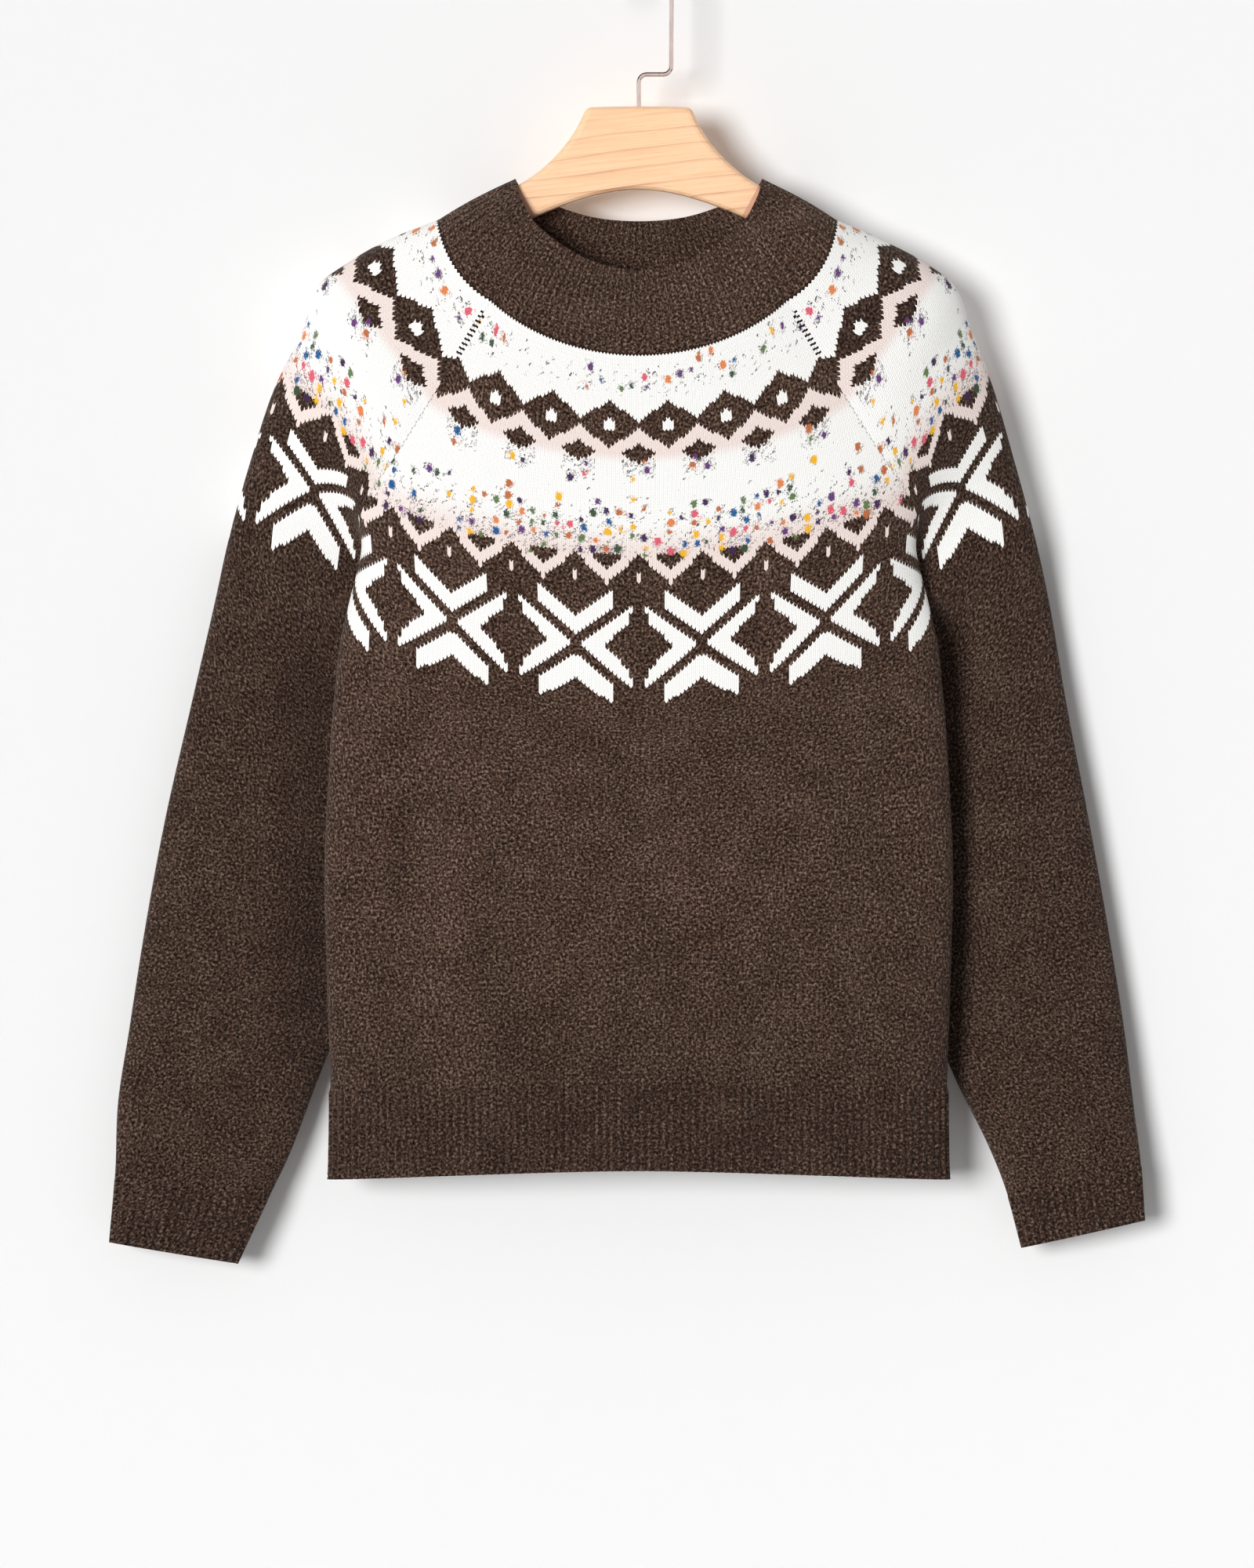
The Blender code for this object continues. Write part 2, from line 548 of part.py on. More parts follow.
def arm_edge(side):
    """The top edge of the arm: the shoulder's fold, from collar brim to arm tip, moved down."""
    x_of = side + "_x"
    line = [(BRIM_PEAK.x, BRIM_PEAK.z)]
    ridges = [(r.at, getattr(r, x_of), r.z) for r in RIDGE]
    line += [tuple(read(ridges, at)) for at in YOKE_ROUNDS if at <= ARM_TIP_AT]
    line = np.array(line)
    slope = np.gradient(line, axis=0)
    slope /= np.linalg.norm(slope, axis=1)[:, None]
    down = np.stack([slope[:, 1], -slope[:, 0]], axis=1)
    return line + down * ARM_DROP, down


def board_half(side):
    """Half the board's outline at +X, from the middle of its top round to its arch."""
    edge, down = arm_edge(side)
    share = np.linspace(0, 1, len(edge))[:, None]
    under = edge + down * (ARM_DEPTH_NECK * (1 - share) + ARM_DEPTH_TIP * share)
    tip = (edge[-1] + under[-1]) / 2
    tip = tip + np.array([-down[-1][1], down[-1][0]]) * ARM_DEPTH_TIP * ARM_TIP_ROUND
    flare = bend(*np.array([*BOARD_FLARE, edge[0]]), BOARD_STEPS)
    arch = bend(*np.array([*BOARD_ARCH, under[0]]), BOARD_STEPS)
    points = [*BOARD_TOP, *flare, *edge[1:], tip, *under[::-1][:-1], *arch[::-1]]
    return [(p[0], p[1]) for p in points]


def make_board(material):
    left, right = board_half("left"), board_half("right")
    outline = left + [(-x, z) for x, z in right[::-1][1:-1]]
    half = BOARD_THICK / 2
    points = [(x, -half, z) for x, z in outline] + [(x, half, z) for x, z in outline]
    count = len(outline)
    faces = [tuple(range(count))[::-1], tuple(range(count, 2 * count))]
    faces += [(i, (i + 1) % count, count + (i + 1) % count, count + i) for i in range(count)]
    mesh = bpy.data.meshes.new("hanger")
    mesh.from_pydata(points, [], faces)
    board = bpy.data.objects.new("hanger", mesh)
    bpy.context.scene.collection.objects.link(board)
    mesh.materials.append(material)
    rounding = board.modifiers.new("rounding", "BEVEL")
    rounding.width = BOARD_EDGE
    rounding.segments = 3
    rounding.limit_method = "ANGLE"
    rounding.angle_limit = math.radians(60)
    rounding.use_clamp_overlap = False
    bpy.ops.mesh.primitive_cylinder_add(
        vertices=16,
        radius=WIRE + FIT_GAP,
        depth=2 * BORE_DEEP,
        location=(0, 0, BOARD_TOP[0].z),
    )
    cutter = bpy.context.object
    cutter.name = "bore_cutter"
    cutter.hide_render = True
    cutter.display_type = "WIRE"
    bore = board.modifiers.new("bore", "BOOLEAN")
    bore.operation = "DIFFERENCE"
    bore.object = cutter
    return board


def arc(centre, radius, start, end, steps):
    """Points on an arc in the XZ plane, angles in degrees from +X towards +Z."""
    turns = np.radians(np.linspace(start, end, steps + 1))
    return [(centre[0] + radius * math.cos(a), centre[1] + radius * math.sin(a)) for a in turns]


def make_hook(material):
    """The wire: up out of the board, a crank to the side, and a half circle back over the middle."""
    r = CRANK_BEND
    path = [(0, BOARD_TOP[0].z - BORE_DEEP + 2 * FIT_GAP)]
    path += arc((r, CRANK_Z - r), r, 180, 90, BEND_STEPS)
    path += arc((CRANK_X - r, CRANK_Z + r), r, 270, 360, BEND_STEPS)
    path += arc((0, WIRE - HOOK_RADIUS), HOOK_RADIUS, 0, 180, HOOK_STEPS)
    path.append((-HOOK_RADIUS, HOOK_END_Z))
    curve = bpy.data.curves.new("hook", "CURVE")
    curve.dimensions = "3D"
    curve.bevel_depth = WIRE
    curve.bevel_resolution = 3
    curve.use_fill_caps = True
    spline = curve.splines.new("POLY")
    spline.points.add(len(path) - 1)
    for point, (x, z) in zip(spline.points, path):
        point.co = (x, 0, z, 1)
    hook = bpy.data.objects.new("hook", curve)
    bpy.context.scene.collection.objects.link(hook)
    curve.materials.append(material)
    return hook


for old in list(bpy.data.objects):
    bpy.data.objects.remove(old)
make_cloth()
make_board(plain_material("beech", BEECH, 0.45))
make_hook(plain_material("steel_wire", STEEL, 0.25, 1.0))
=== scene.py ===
"""Looks for a fair isle jumper on a wooden hanger: knitted wool, beech and bright wire.

Metres, +Z up, the front faces -Y, and the wearer's right is at -X. The cloth follows the same
rounds and ridges as the solids. A chart coordinate runs over each panel: across in repeats of
sixteen stitches, and down in rows of about half a millimetre, from the collar's seam.
"""

import math
from collections import namedtuple
from functools import lru_cache, partialmethod

import bpy
import mathutils
import numpy as np
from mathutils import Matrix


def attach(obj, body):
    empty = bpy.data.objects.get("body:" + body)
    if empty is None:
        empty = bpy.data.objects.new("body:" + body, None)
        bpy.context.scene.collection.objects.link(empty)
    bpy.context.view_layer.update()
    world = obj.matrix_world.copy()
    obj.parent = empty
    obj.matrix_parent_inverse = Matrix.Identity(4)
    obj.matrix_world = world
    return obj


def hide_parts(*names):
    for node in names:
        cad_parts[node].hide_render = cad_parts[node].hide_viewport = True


bl_info = {
    "name": "Fair isle jumper on a hanger",
    "version": (1, 0, 0),
    "blender": (4, 5, 0),
    "location": "View3D > Sidebar > Jumper",
    "description": "Dresses the packed jumper and hanger in knitted wool, beech and bright wire",
    "category": "Object",
}

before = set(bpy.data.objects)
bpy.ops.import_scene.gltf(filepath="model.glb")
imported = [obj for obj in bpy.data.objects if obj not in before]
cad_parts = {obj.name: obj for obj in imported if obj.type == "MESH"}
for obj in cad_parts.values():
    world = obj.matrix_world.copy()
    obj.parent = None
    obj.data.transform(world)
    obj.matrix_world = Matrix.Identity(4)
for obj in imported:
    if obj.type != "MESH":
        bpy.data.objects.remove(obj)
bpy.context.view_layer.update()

# The cut of the cloth, as in the part's source. A round's place, `at`, is 0 at the collar's seam and
# 1 at the underarm, and goes on down to the hem or the cuff. Half a round of the body is one curve
# from the panel's middle to its seam: it reaches out level, and comes in from the turn.
Round = namedtuple("Round", "at mid_y mid_z reach turn_x turn_y turn_z seam_x seam_y seam_z")
FRONT = [
    Round(0.00, -0.042, -0.2505, 0.0375, 0.0715, -0.040, -0.2365, 0.0935, -0.033, -0.2155),
    Round(0.19, -0.043, -0.2920, 0.0425, 0.0880, -0.041, -0.2790, 0.1190, -0.034, -0.2580),
    Round(0.42, -0.042, -0.3425, 0.0525, 0.1075, -0.040, -0.3305, 0.1485, -0.031, -0.3055),
    Round(0.646, -0.041, -0.3920, 0.0625, 0.1480, -0.040, -0.3730, 0.1770, -0.024, -0.3520),
    Round(0.82, -0.041, -0.4300, 0.0650, 0.2030, -0.038, -0.3990, 0.1750, -0.009, -0.3790),
    Round(1.00, -0.040, -0.4695, 0.0650, 0.2320, -0.037, -0.4320, 0.1770, -0.004, -0.4155),
    Round(1.25, -0.040, -0.4980, 0.0650, 0.2275, -0.036, -0.4680, 0.1875, -0.003, -0.4630),
    Round(1.60, -0.040, -0.5580, 0.0650, 0.2300, -0.036, -0.5480, 0.1940, -0.004, -0.5430),
    Round(2.30, -0.039, -0.6430, 0.0650, 0.2290, -0.036, -0.6440, 0.1940, -0.002, -0.6430),
    Round(2.85, -0.037, -0.7155, 0.0650, 0.2250, -0.034, -0.7215, 0.1920, 0.000, -0.7205),
    Round(3.30, -0.033, -0.7685, 0.0650, 0.2260, -0.030, -0.7765, 0.1930, 0.001, -0.7745),
]
BACK = [
    Round(0.00, 0.024, -0.2130, 0.0375, 0.0650, 0.024, -0.2090, 0.0875, 0.020, -0.1970),
    Round(0.19, 0.027, -0.2580, 0.0400, 0.0825, 0.027, -0.2490, 0.1090, 0.025, -0.2390),
    Round(0.42, 0.029, -0.3130, 0.0500, 0.1000, 0.030, -0.3060, 0.1325, 0.028, -0.2905),
    Round(0.646, 0.030, -0.3680, 0.0600, 0.1200, 0.031, -0.3590, 0.1525, 0.026, -0.3430),
    Round(0.82, 0.030, -0.4105, 0.0625, 0.1400, 0.027, -0.3990, 0.1715, 0.013, -0.3805),
    Round(1.00, 0.029, -0.4530, 0.0650, 0.1500, 0.008, -0.4290, 0.1770, -0.004, -0.4155),
    Round(1.25, 0.029, -0.4880, 0.0650, 0.1580, 0.009, -0.4705, 0.1875, -0.003, -0.4630),
    Round(1.60, 0.029, -0.5505, 0.0650, 0.1600, 0.010, -0.5455, 0.1940, -0.004, -0.5430),
    Round(2.30, 0.029, -0.6405, 0.0650, 0.1650, 0.020, -0.6430, 0.1940, -0.002, -0.6430),
    Round(2.85, 0.027, -0.7130, 0.0650, 0.1750, 0.024, -0.7200, 0.1920, 0.000, -0.7205),
    Round(3.30, 0.024, -0.7660, 0.0650, 0.1760, 0.022, -0.7730, 0.1930, 0.001, -0.7745),
]
# The sleeves' outer fold over the shoulder, down to the underarm, and how far its handles reach.
Ridge = namedtuple("Ridge", "at right_x left_x y z reach")
RIDGE = [
    Ridge(0.00, 0.1275, 0.1255, 0.000, -0.1630, 0.022),
    Ridge(0.13, 0.1600, 0.1550, 0.000, -0.1760, 0.024),
    Ridge(0.25, 0.1855, 0.1825, 0.000, -0.1905, 0.026),
    Ridge(0.345, 0.2050, 0.2015, 0.001, -0.2055, 0.026),
    Ridge(0.45, 0.2135, 0.2115, 0.003, -0.2310, 0.020),
    Ridge(0.60, 0.2315, 0.2255, 0.006, -0.2675, 0.017),
    Ridge(0.80, 0.2480, 0.2400, 0.009, -0.3165, 0.018),
    Ridge(1.00, 0.2620, 0.2535, 0.012, -0.3660, 0.018),
]
# The handles by which a sleeve's rounds leave the front and the back raglan seam.
Lead = namedtuple("Lead", "at front_x front_y front_z back_x back_y back_z")
LEADS = [
    Lead(0.00, 0.1250, -0.028, -0.1980, 0.1075, 0.020, -0.1855),
    Lead(0.19, 0.1350, -0.032, -0.2430, 0.1310, 0.026, -0.2255),
    Lead(0.42, 0.1650, -0.032, -0.2790, 0.1560, 0.031, -0.2730),
    Lead(0.646, 0.1830, -0.024, -0.3050, 0.1725, 0.036, -0.3280),
    Lead(0.82, 0.1925, -0.006, -0.3500, 0.1790, 0.038, -0.3630),
    Lead(1.00, 0.2030, 0.005, -0.3930, 0.1760, 0.041, -0.4110),
]
# The sleeves below the underarm: their outer and inner edges, their middle and half their thickness.
Ring = namedtuple("Ring", "at out_x out_z in_x in_z y half")
RINGS = {
    "right": [
        Ring(1.18, 0.2710, -0.4055, 0.1680, -0.4480, 0.0185, 0.0130),
        Ring(1.49, 0.2865, -0.4730, 0.1590, -0.5070, 0.0175, 0.0140),
        Ring(1.83, 0.3030, -0.5455, 0.1625, -0.5805, 0.017, 0.0145),
        Ring(2.15, 0.3155, -0.6130, 0.1810, -0.6480, 0.017, 0.0140),
        Ring(2.46, 0.3260, -0.6805, 0.2055, -0.7130, 0.015, 0.0130),
        Ring(2.68, 0.3330, -0.7280, 0.2225, -0.7580, 0.012, 0.0115),
        Ring(2.87, 0.3345, -0.7705, 0.2350, -0.7845, 0.009, 0.0095),
        Ring(3.07, 0.3380, -0.8155, 0.2560, -0.8290, 0.006, 0.0085),
    ],
    "left": [
        Ring(1.18, 0.2620, -0.4030, 0.1680, -0.4470, 0.0185, 0.0130),
        Ring(1.49, 0.2735, -0.4705, 0.1580, -0.5055, 0.0175, 0.0140),
        Ring(1.83, 0.2875, -0.5430, 0.1610, -0.5755, 0.017, 0.0145),
        Ring(2.15, 0.3000, -0.6130, 0.1780, -0.6455, 0.017, 0.0140),
        Ring(2.46, 0.3110, -0.6830, 0.2020, -0.7105, 0.015, 0.0130),
        Ring(2.68, 0.3165, -0.7295, 0.2225, -0.7520, 0.012, 0.0115),
        Ring(2.87, 0.3205, -0.7620, 0.2345, -0.7820, 0.009, 0.0095),
        Ring(3.07, 0.3230, -0.8015, 0.2445, -0.8190, 0.006, 0.0085),
    ],
}
# The collar's upper edge, from the front's middle, 0, past the side, 2, to the back's middle, 4.
Brim = namedtuple("Brim", "at x y z")
BRIM = [
    Brim(-0.5, -0.033, -0.0205, -0.1890),
    Brim(0.0, 0.0000, -0.0210, -0.1965),
    Brim(0.5, 0.0330, -0.0205, -0.1890),
    Brim(1.0, 0.0625, -0.0180, -0.1695),
    Brim(1.5, 0.0750, -0.0140, -0.1500),
    Brim(1.8, 0.0782, -0.0085, -0.1405),
    Brim(2.0, 0.0787, 0.0000, -0.1370),
    Brim(2.2, 0.0775, 0.0085, -0.1390),
    Brim(2.5, 0.0730, 0.0135, -0.1445),
    Brim(3.0, 0.0550, 0.0155, -0.1525),
    Brim(3.5, 0.0290, 0.0165, -0.1605),
    Brim(4.0, 0.0000, 0.0170, -0.1630),
    Brim(4.5, -0.0290, 0.0165, -0.1605),
]
# The body's soft folds: a line from head to foot, its width, and how far it rises or sinks.
Fold = namedtuple("Fold", "panel head_x head_z foot_x foot_z width rise")
FOLDS = [
    Fold("front", -0.150, -0.430, -0.138, -0.690, 0.022, -0.0028),
    Fold("front", -0.124, -0.425, -0.153, -0.670, 0.013, -0.0040),
    Fold("front", -0.092, -0.440, -0.118, -0.660, 0.020, 0.0022),
    Fold("front", 0.160, -0.420, 0.166, -0.640, 0.014, -0.0030),
    Fold("front", -0.105, -0.460, -0.112, -0.700, 0.024, 0.0020),
    Fold("front", 0.152, -0.430, 0.146, -0.690, 0.022, -0.0024),
    Fold("front", 0.112, -0.470, 0.106, -0.690, 0.024, 0.0016),
    Fold("front", 0.020, -0.480, 0.030, -0.680, 0.030, -0.0012),
    Fold("back", -0.085, -0.330, -0.070, -0.690, 0.026, -0.0026),
    Fold("back", 0.090, -0.340, 0.080, -0.680, 0.026, -0.0024),
    Fold("back", 0.004, -0.420, 0.000, -0.700, 0.028, 0.0020),
]
# Below the underarm the sleeve's near side sinks back beside the body.
TUCK, TUCK_FRONT, TUCK_BACK = 0.0140, 1.0, 0.25  # how far, and its share on the front and the back
TUCK_ACROSS = (0.194, 0.238)  # it fades between these distances from the body's middle
TUCK_TURN = 0.012  # the front's share becomes the back's over this far either side of the outer fold
TUCK_ROUNDS = (1.0, 1.3, 2.1, 2.6)  # it grows between the first two and fades between the last two
SINK = 0.0085  # how far the front raglan seam sinks into the armhole's crease
SINK_ROUNDS = (0.42, 0.68, 0.86, 1.0)  # where it does, likewise
UNDERARM, HEM_RIB_TOP, HEM_FOOT = 1.0, 2.80, 3.3
CUFF_RIB_TOP, CUFF_FOOT = 2.87, 3.07
RING_FULLNESS = 4 / 3  # a curve's handles lie this much further out than the curve itself
FOLDS_HELD = 8  # the higher, the nearer to the seams a fold keeps its depth
SIDE_SEAM = [(r.at, r.seam_x, r.seam_y, r.seam_z) for r in FRONT if r.at >= UNDERARM]

WALL, COLLAR_WALL = 0.0024, 0.0030
COLLAR_BULGE, COLLAR_RISE = 0.002, 0.4  # its swell half way down, and the upright share of that
COLLAR_BRIM_RIBS = 0.3  # the share of the ribs' rise at the brim
COLLAR_CLEAR = 0.05  # of a mesh row, by which the collar's foot stands back from its seam
COLLAR_MEAN = 0.8  # the collar's mean length about the neck, against its seam's
SEAM_HALF = 0.00005  # each panel's edge stands this far back from the seam
CORNER = 0.005  # rounding of the hem's lower corners

HEM_RIBS, CUFF_RIBS = 90, 34
CollarPart = namedtuple("CollarPart", "start ribs")
COLLAR_PARTS = {  # where the brim over each panel starts, and its ribs
    "front": CollarPart(-1, 40),
    "left": CollarPart(1, 21),
    "back": CollarPart(3, 32),
    "right": CollarPart(5, 21),
}

# The meshes' fineness.
ROW_STEP = 0.0024  # spacing of rows over plain knit
BODY_COLUMNS, SLEEVE_COLUMNS = 180, 112
RIB_COLUMNS = 8  # columns to a rib
RIB_STARTS = 3  # rows, a stitch apart, over which the ribs rise
BAND_ROWS, COLLAR_ROWS = 16, 22
INSIDE_STEP = 4  # the plain inside has one row and column for this many outside
COARSE_YOKE, COARSE_BELOW, COARSE_COLUMNS = 41, 61, 7  # rounds and columns that measure a panel
TOUCHING = 2e-6  # points this near are joined
RIM_ANGLE = 50  # edges that turn by more degrees than this stay sharp

# The chart: down in half millimetres, across in repeats.
CHART_UNIT = 0.0005
CHART_TOP, YOKE_DEEP = 455, 438  # the chart's first row, and rows from there to the underarm
UNDERARM_ROW = CHART_TOP + YOKE_DEEP
STITCHES = 16  # in a repeat
STITCH_WIDE, ROW_HIGH = 5, 3.8  # a stitch, in chart rows
Gauge = namedtuple("Gauge", "row width")
GAUGES = [  # the width of a repeat, down the body
    Gauge(455, 0.0350),
    Gauge(543, 0.0372),
    Gauge(580, 0.0383),
    Gauge(735, 0.0407),
    Gauge(820, 0.0400),
]
# On the sleeves, also how far the column through the front star lies from the raglan seam.
SleeveGauge = namedtuple("SleeveGauge", "row width from_seam")
SLEEVE_GAUGES = [
    SleeveGauge(455, 0.0500, 0.0520),
    SleeveGauge(542, 0.0494, 0.0580),
    SleeveGauge(578, 0.0472, 0.0684),
    SleeveGauge(650, 0.0462, 0.0620),
    SleeveGauge(730, 0.0450, 0.0534),
    SleeveGauge(800, 0.0420, 0.0475),
    SleeveGauge(900, 0.0400, 0.0450),
]
# How far the pattern is eased along the rounds, as (chart row, rows added).
BODY_EASING = [(461, 0), (480, -5), (700, -4), (740, -6), (820, -8), (900, -7), (1000, 0)]
SLEEVE_EASING = [(700, 0), (740, 3), (795, 22), (880, 19), (980, 0)]
SLEEVE_TILT = 17  # rows added a repeat nearer the seam, and taken away a repeat further off
TILT_REACH = 1.1  # repeats either side over which the tilt goes on growing
TILTED = [(690, 0), (750, 1), (900, 1), (980, 0)]  # the share of the tilt down the chart
SEAM_SEEN = 0.03  # the seam attribute stops counting this far from a raglan seam


def srgb(red, green, blue):
    """A colour from 8-bit screen values."""
    parts = [c / 255 for c in (red, green, blue)]
    return tuple(c / 12.92 if c <= 0.04045 else ((c + 0.055) / 1.055) ** 2.4 for c in parts)


def read(table, at):
    """The table's values at this place, on a smooth curve through its rows."""
    rows = np.array(table, float)
    places, values = rows[:, 0], rows[:, 1:]
    slopes = np.gradient(values, places, axis=0)
    i = int(np.clip(np.searchsorted(places, at) - 1, 0, len(places) - 2))
    span = places[i + 1] - places[i]
    t = (at - places[i]) / span
    ease = t * t * (3 - 2 * t)
    swing = t * (1 - t) * span
    blend = values[i] * (1 - ease) + values[i + 1] * ease
    return blend + swing * ((1 - t) * slopes[i] - t * slopes[i + 1])


def bend(a, b, c, d, fine=64):
    """Points along the cubic curve with these four handles."""
    t = np.linspace(0, 1, fine + 1)[:, None]
    return (1 - t) ** 3 * a + 3 * (1 - t) ** 2 * t * b + 3 * (1 - t) * t**2 * c + t**3 * d


def run_along(line):
    """The length of the line up to each of its points."""
    return np.concatenate([[0], np.cumsum(np.linalg.norm(np.diff(line, axis=0), axis=1))])


def spread(line, shares):
    """Points at these shares of the line's length."""
    run = run_along(line)
    return np.stack([np.interp(shares * run[-1], run, line[:, k]) for k in range(3)], axis=1)


def eased(value, low, high):
    """How far the value has come from low to high, starting and ending gently."""
    t = np.clip((value - low) / (high - low), 0, 1)
    return t * t * (3 - 2 * t)


def strength_at(at, rounds):
    """How strong a crease is at this place, which grows and wanes at these four."""
    start, full, waning, end = rounds
    return eased(at, start, full) * (1 - eased(at, waning, end))


def folded(points, panel):
    """The points with the panel's soft folds pressed into them."""
    outward = -1 if panel == "front" else 1
    seams_hold = 1 - np.abs(np.linspace(-1, 1, len(points))) ** FOLDS_HELD
    for fold in FOLDS:
        if fold.panel == panel:
            down = np.clip((fold.head_z - points[:, 2]) / (fold.head_z - fold.foot_z), 0, 1)
            line = fold.head_x + (fold.foot_x - fold.head_x) * down
            across = np.exp(-(((points[:, 0] - line) / fold.width) ** 2))
            points[:, 1] += outward * fold.rise * across * seams_hold * np.sin(math.pi * down)
    return points


def raglan_seam(table, at):
    """The point of the raglan seam of this panel's table; the front's sinks into the armhole's crease."""
    seam = read([(r.at, r.seam_x, r.seam_y, r.seam_z) for r in table], at)
    if table is FRONT:
        seam[1] += SINK * strength_at(at, SINK_ROUNDS)
    return seam


def body_round(panel, at, shares):
    """A round of the front or the back, seam to seam, at these shares of half its length."""
    table = FRONT if panel == "front" else BACK
    r = Round(at, *read(table, at))
    seam = raglan_seam(table, at) if at <= UNDERARM else read(SIDE_SEAM, at)
    middle = np.array([0, r.mid_y, r.mid_z])
    curve = bend(middle, middle + (r.reach, 0, 0), np.array([r.turn_x, r.turn_y, r.turn_z]), seam)
    half = spread(curve, shares)
    points = folded(np.vstack([(half * (-1, 1, 1))[::-1], half[1:]]), panel)
    return points if panel == "front" else points[::-1]


def tucked(points, at, fold_y):
    """The sleeve's round with its side next to the body sunk back."""
    near = 1 - eased(points[:, 0], *TUCK_ACROSS)
    behind = eased(points[:, 1], fold_y - TUCK_TURN, fold_y + TUCK_TURN)
    share = TUCK_FRONT + (TUCK_BACK - TUCK_FRONT) * behind
    points[:, 1] += TUCK * strength_at(at, TUCK_ROUNDS) * near * share
    return points


def sleeve_round(side, at, shares):
    """A whole round of a sleeve, in the order in which the rounds go about the body."""
    rings = RINGS[side]
    ridges = [(r.at, getattr(r, side + "_x"), r.y, r.z, r.reach) for r in RIDGE]
    ridges += [(r.at, r.out_x, r.y, r.out_z, r.half * RING_FULLNESS) for r in rings]
    *fold, reach = read(ridges, at)
    if at <= UNDERARM:
        front_seam, back_seam = raglan_seam(FRONT, at), raglan_seam(BACK, at)
    else:
        inner = [(r.at, r.in_x, r.y, r.in_z) for r in rings]
        front_seam = back_seam = read(SIDE_SEAM[:1] + inner, at)
    front_leads = [(r.at, r.front_x, r.front_y, r.front_z) for r in LEADS]
    back_leads = [(r.at, r.back_x, r.back_y, r.back_z) for r in LEADS]
    front_leads += [(r.at, r.in_x, r.y - r.half * RING_FULLNESS, r.in_z) for r in rings]
    back_leads += [(r.at, r.in_x, r.y + r.half * RING_FULLNESS, r.in_z) for r in rings]
    fold, over = np.array(fold), np.array([0, reach, 0])
    front = spread(bend(front_seam, read(front_leads, at), fold - over, fold), shares)
    back = spread(bend(back_seam, read(back_leads, at), fold + over, fold), shares)
    points = tucked(np.vstack([front, back[::-1][1:]]), at, fold[1])
    return points if side == "left" else points[::-1] * (-1, 1, 1)


def row_places(panel, foot):
    """Places of rounds, close and evenly spaced down a panel, and their chart rows."""
    yoke = np.linspace(0, UNDERARM, COARSE_YOKE)
    coarse = np.concatenate([yoke, np.linspace(UNDERARM, foot, COARSE_BELOW)[1:]])
    few = np.linspace(0, 1, COARSE_COLUMNS)
    below = coarse >= UNDERARM
    round_at = body_round if panel in ("front", "back") else sleeve_round
    rounds = [round_at(panel, at, few) for at in coarse[below]]
    steps = np.linalg.norm(np.diff(rounds, axis=0), axis=2).mean(axis=1)
    chart = CHART_TOP + YOKE_DEEP * coarse
    chart[below] = UNDERARM_ROW + np.concatenate([[0], np.cumsum(steps)]) / CHART_UNIT
    return coarse, chart


def even_rows(top, foot):
    """Rows of the chart from top to foot, close to ROW_STEP apart."""
    return np.linspace(top, foot, round((foot - top) * CHART_UNIT / ROW_STEP) + 1)


def gauge(table, row, value):
    """A value of a gauge table at this row of the chart."""
    return np.interp(row, [g.row for g in table], [getattr(g, value) for g in table])


def rounded_corners(net):
    """The hem's net with its lower corners rounded in the last rows."""
    foot = net[-1]
    run = run_along(foot)
    to_seam = np.minimum(run, run[-1] - run)
    inward = np.clip(1 - to_seam / CORNER, 0, 1)
    lift = CORNER * (1 - np.sqrt(1 - inward**2))
    for row in net:
        above = row[:, 2] - foot[:, 2]
        row[:, 2] += lift * np.clip(1 - above / CORNER / 2, 0, 1) ** 2
    return net


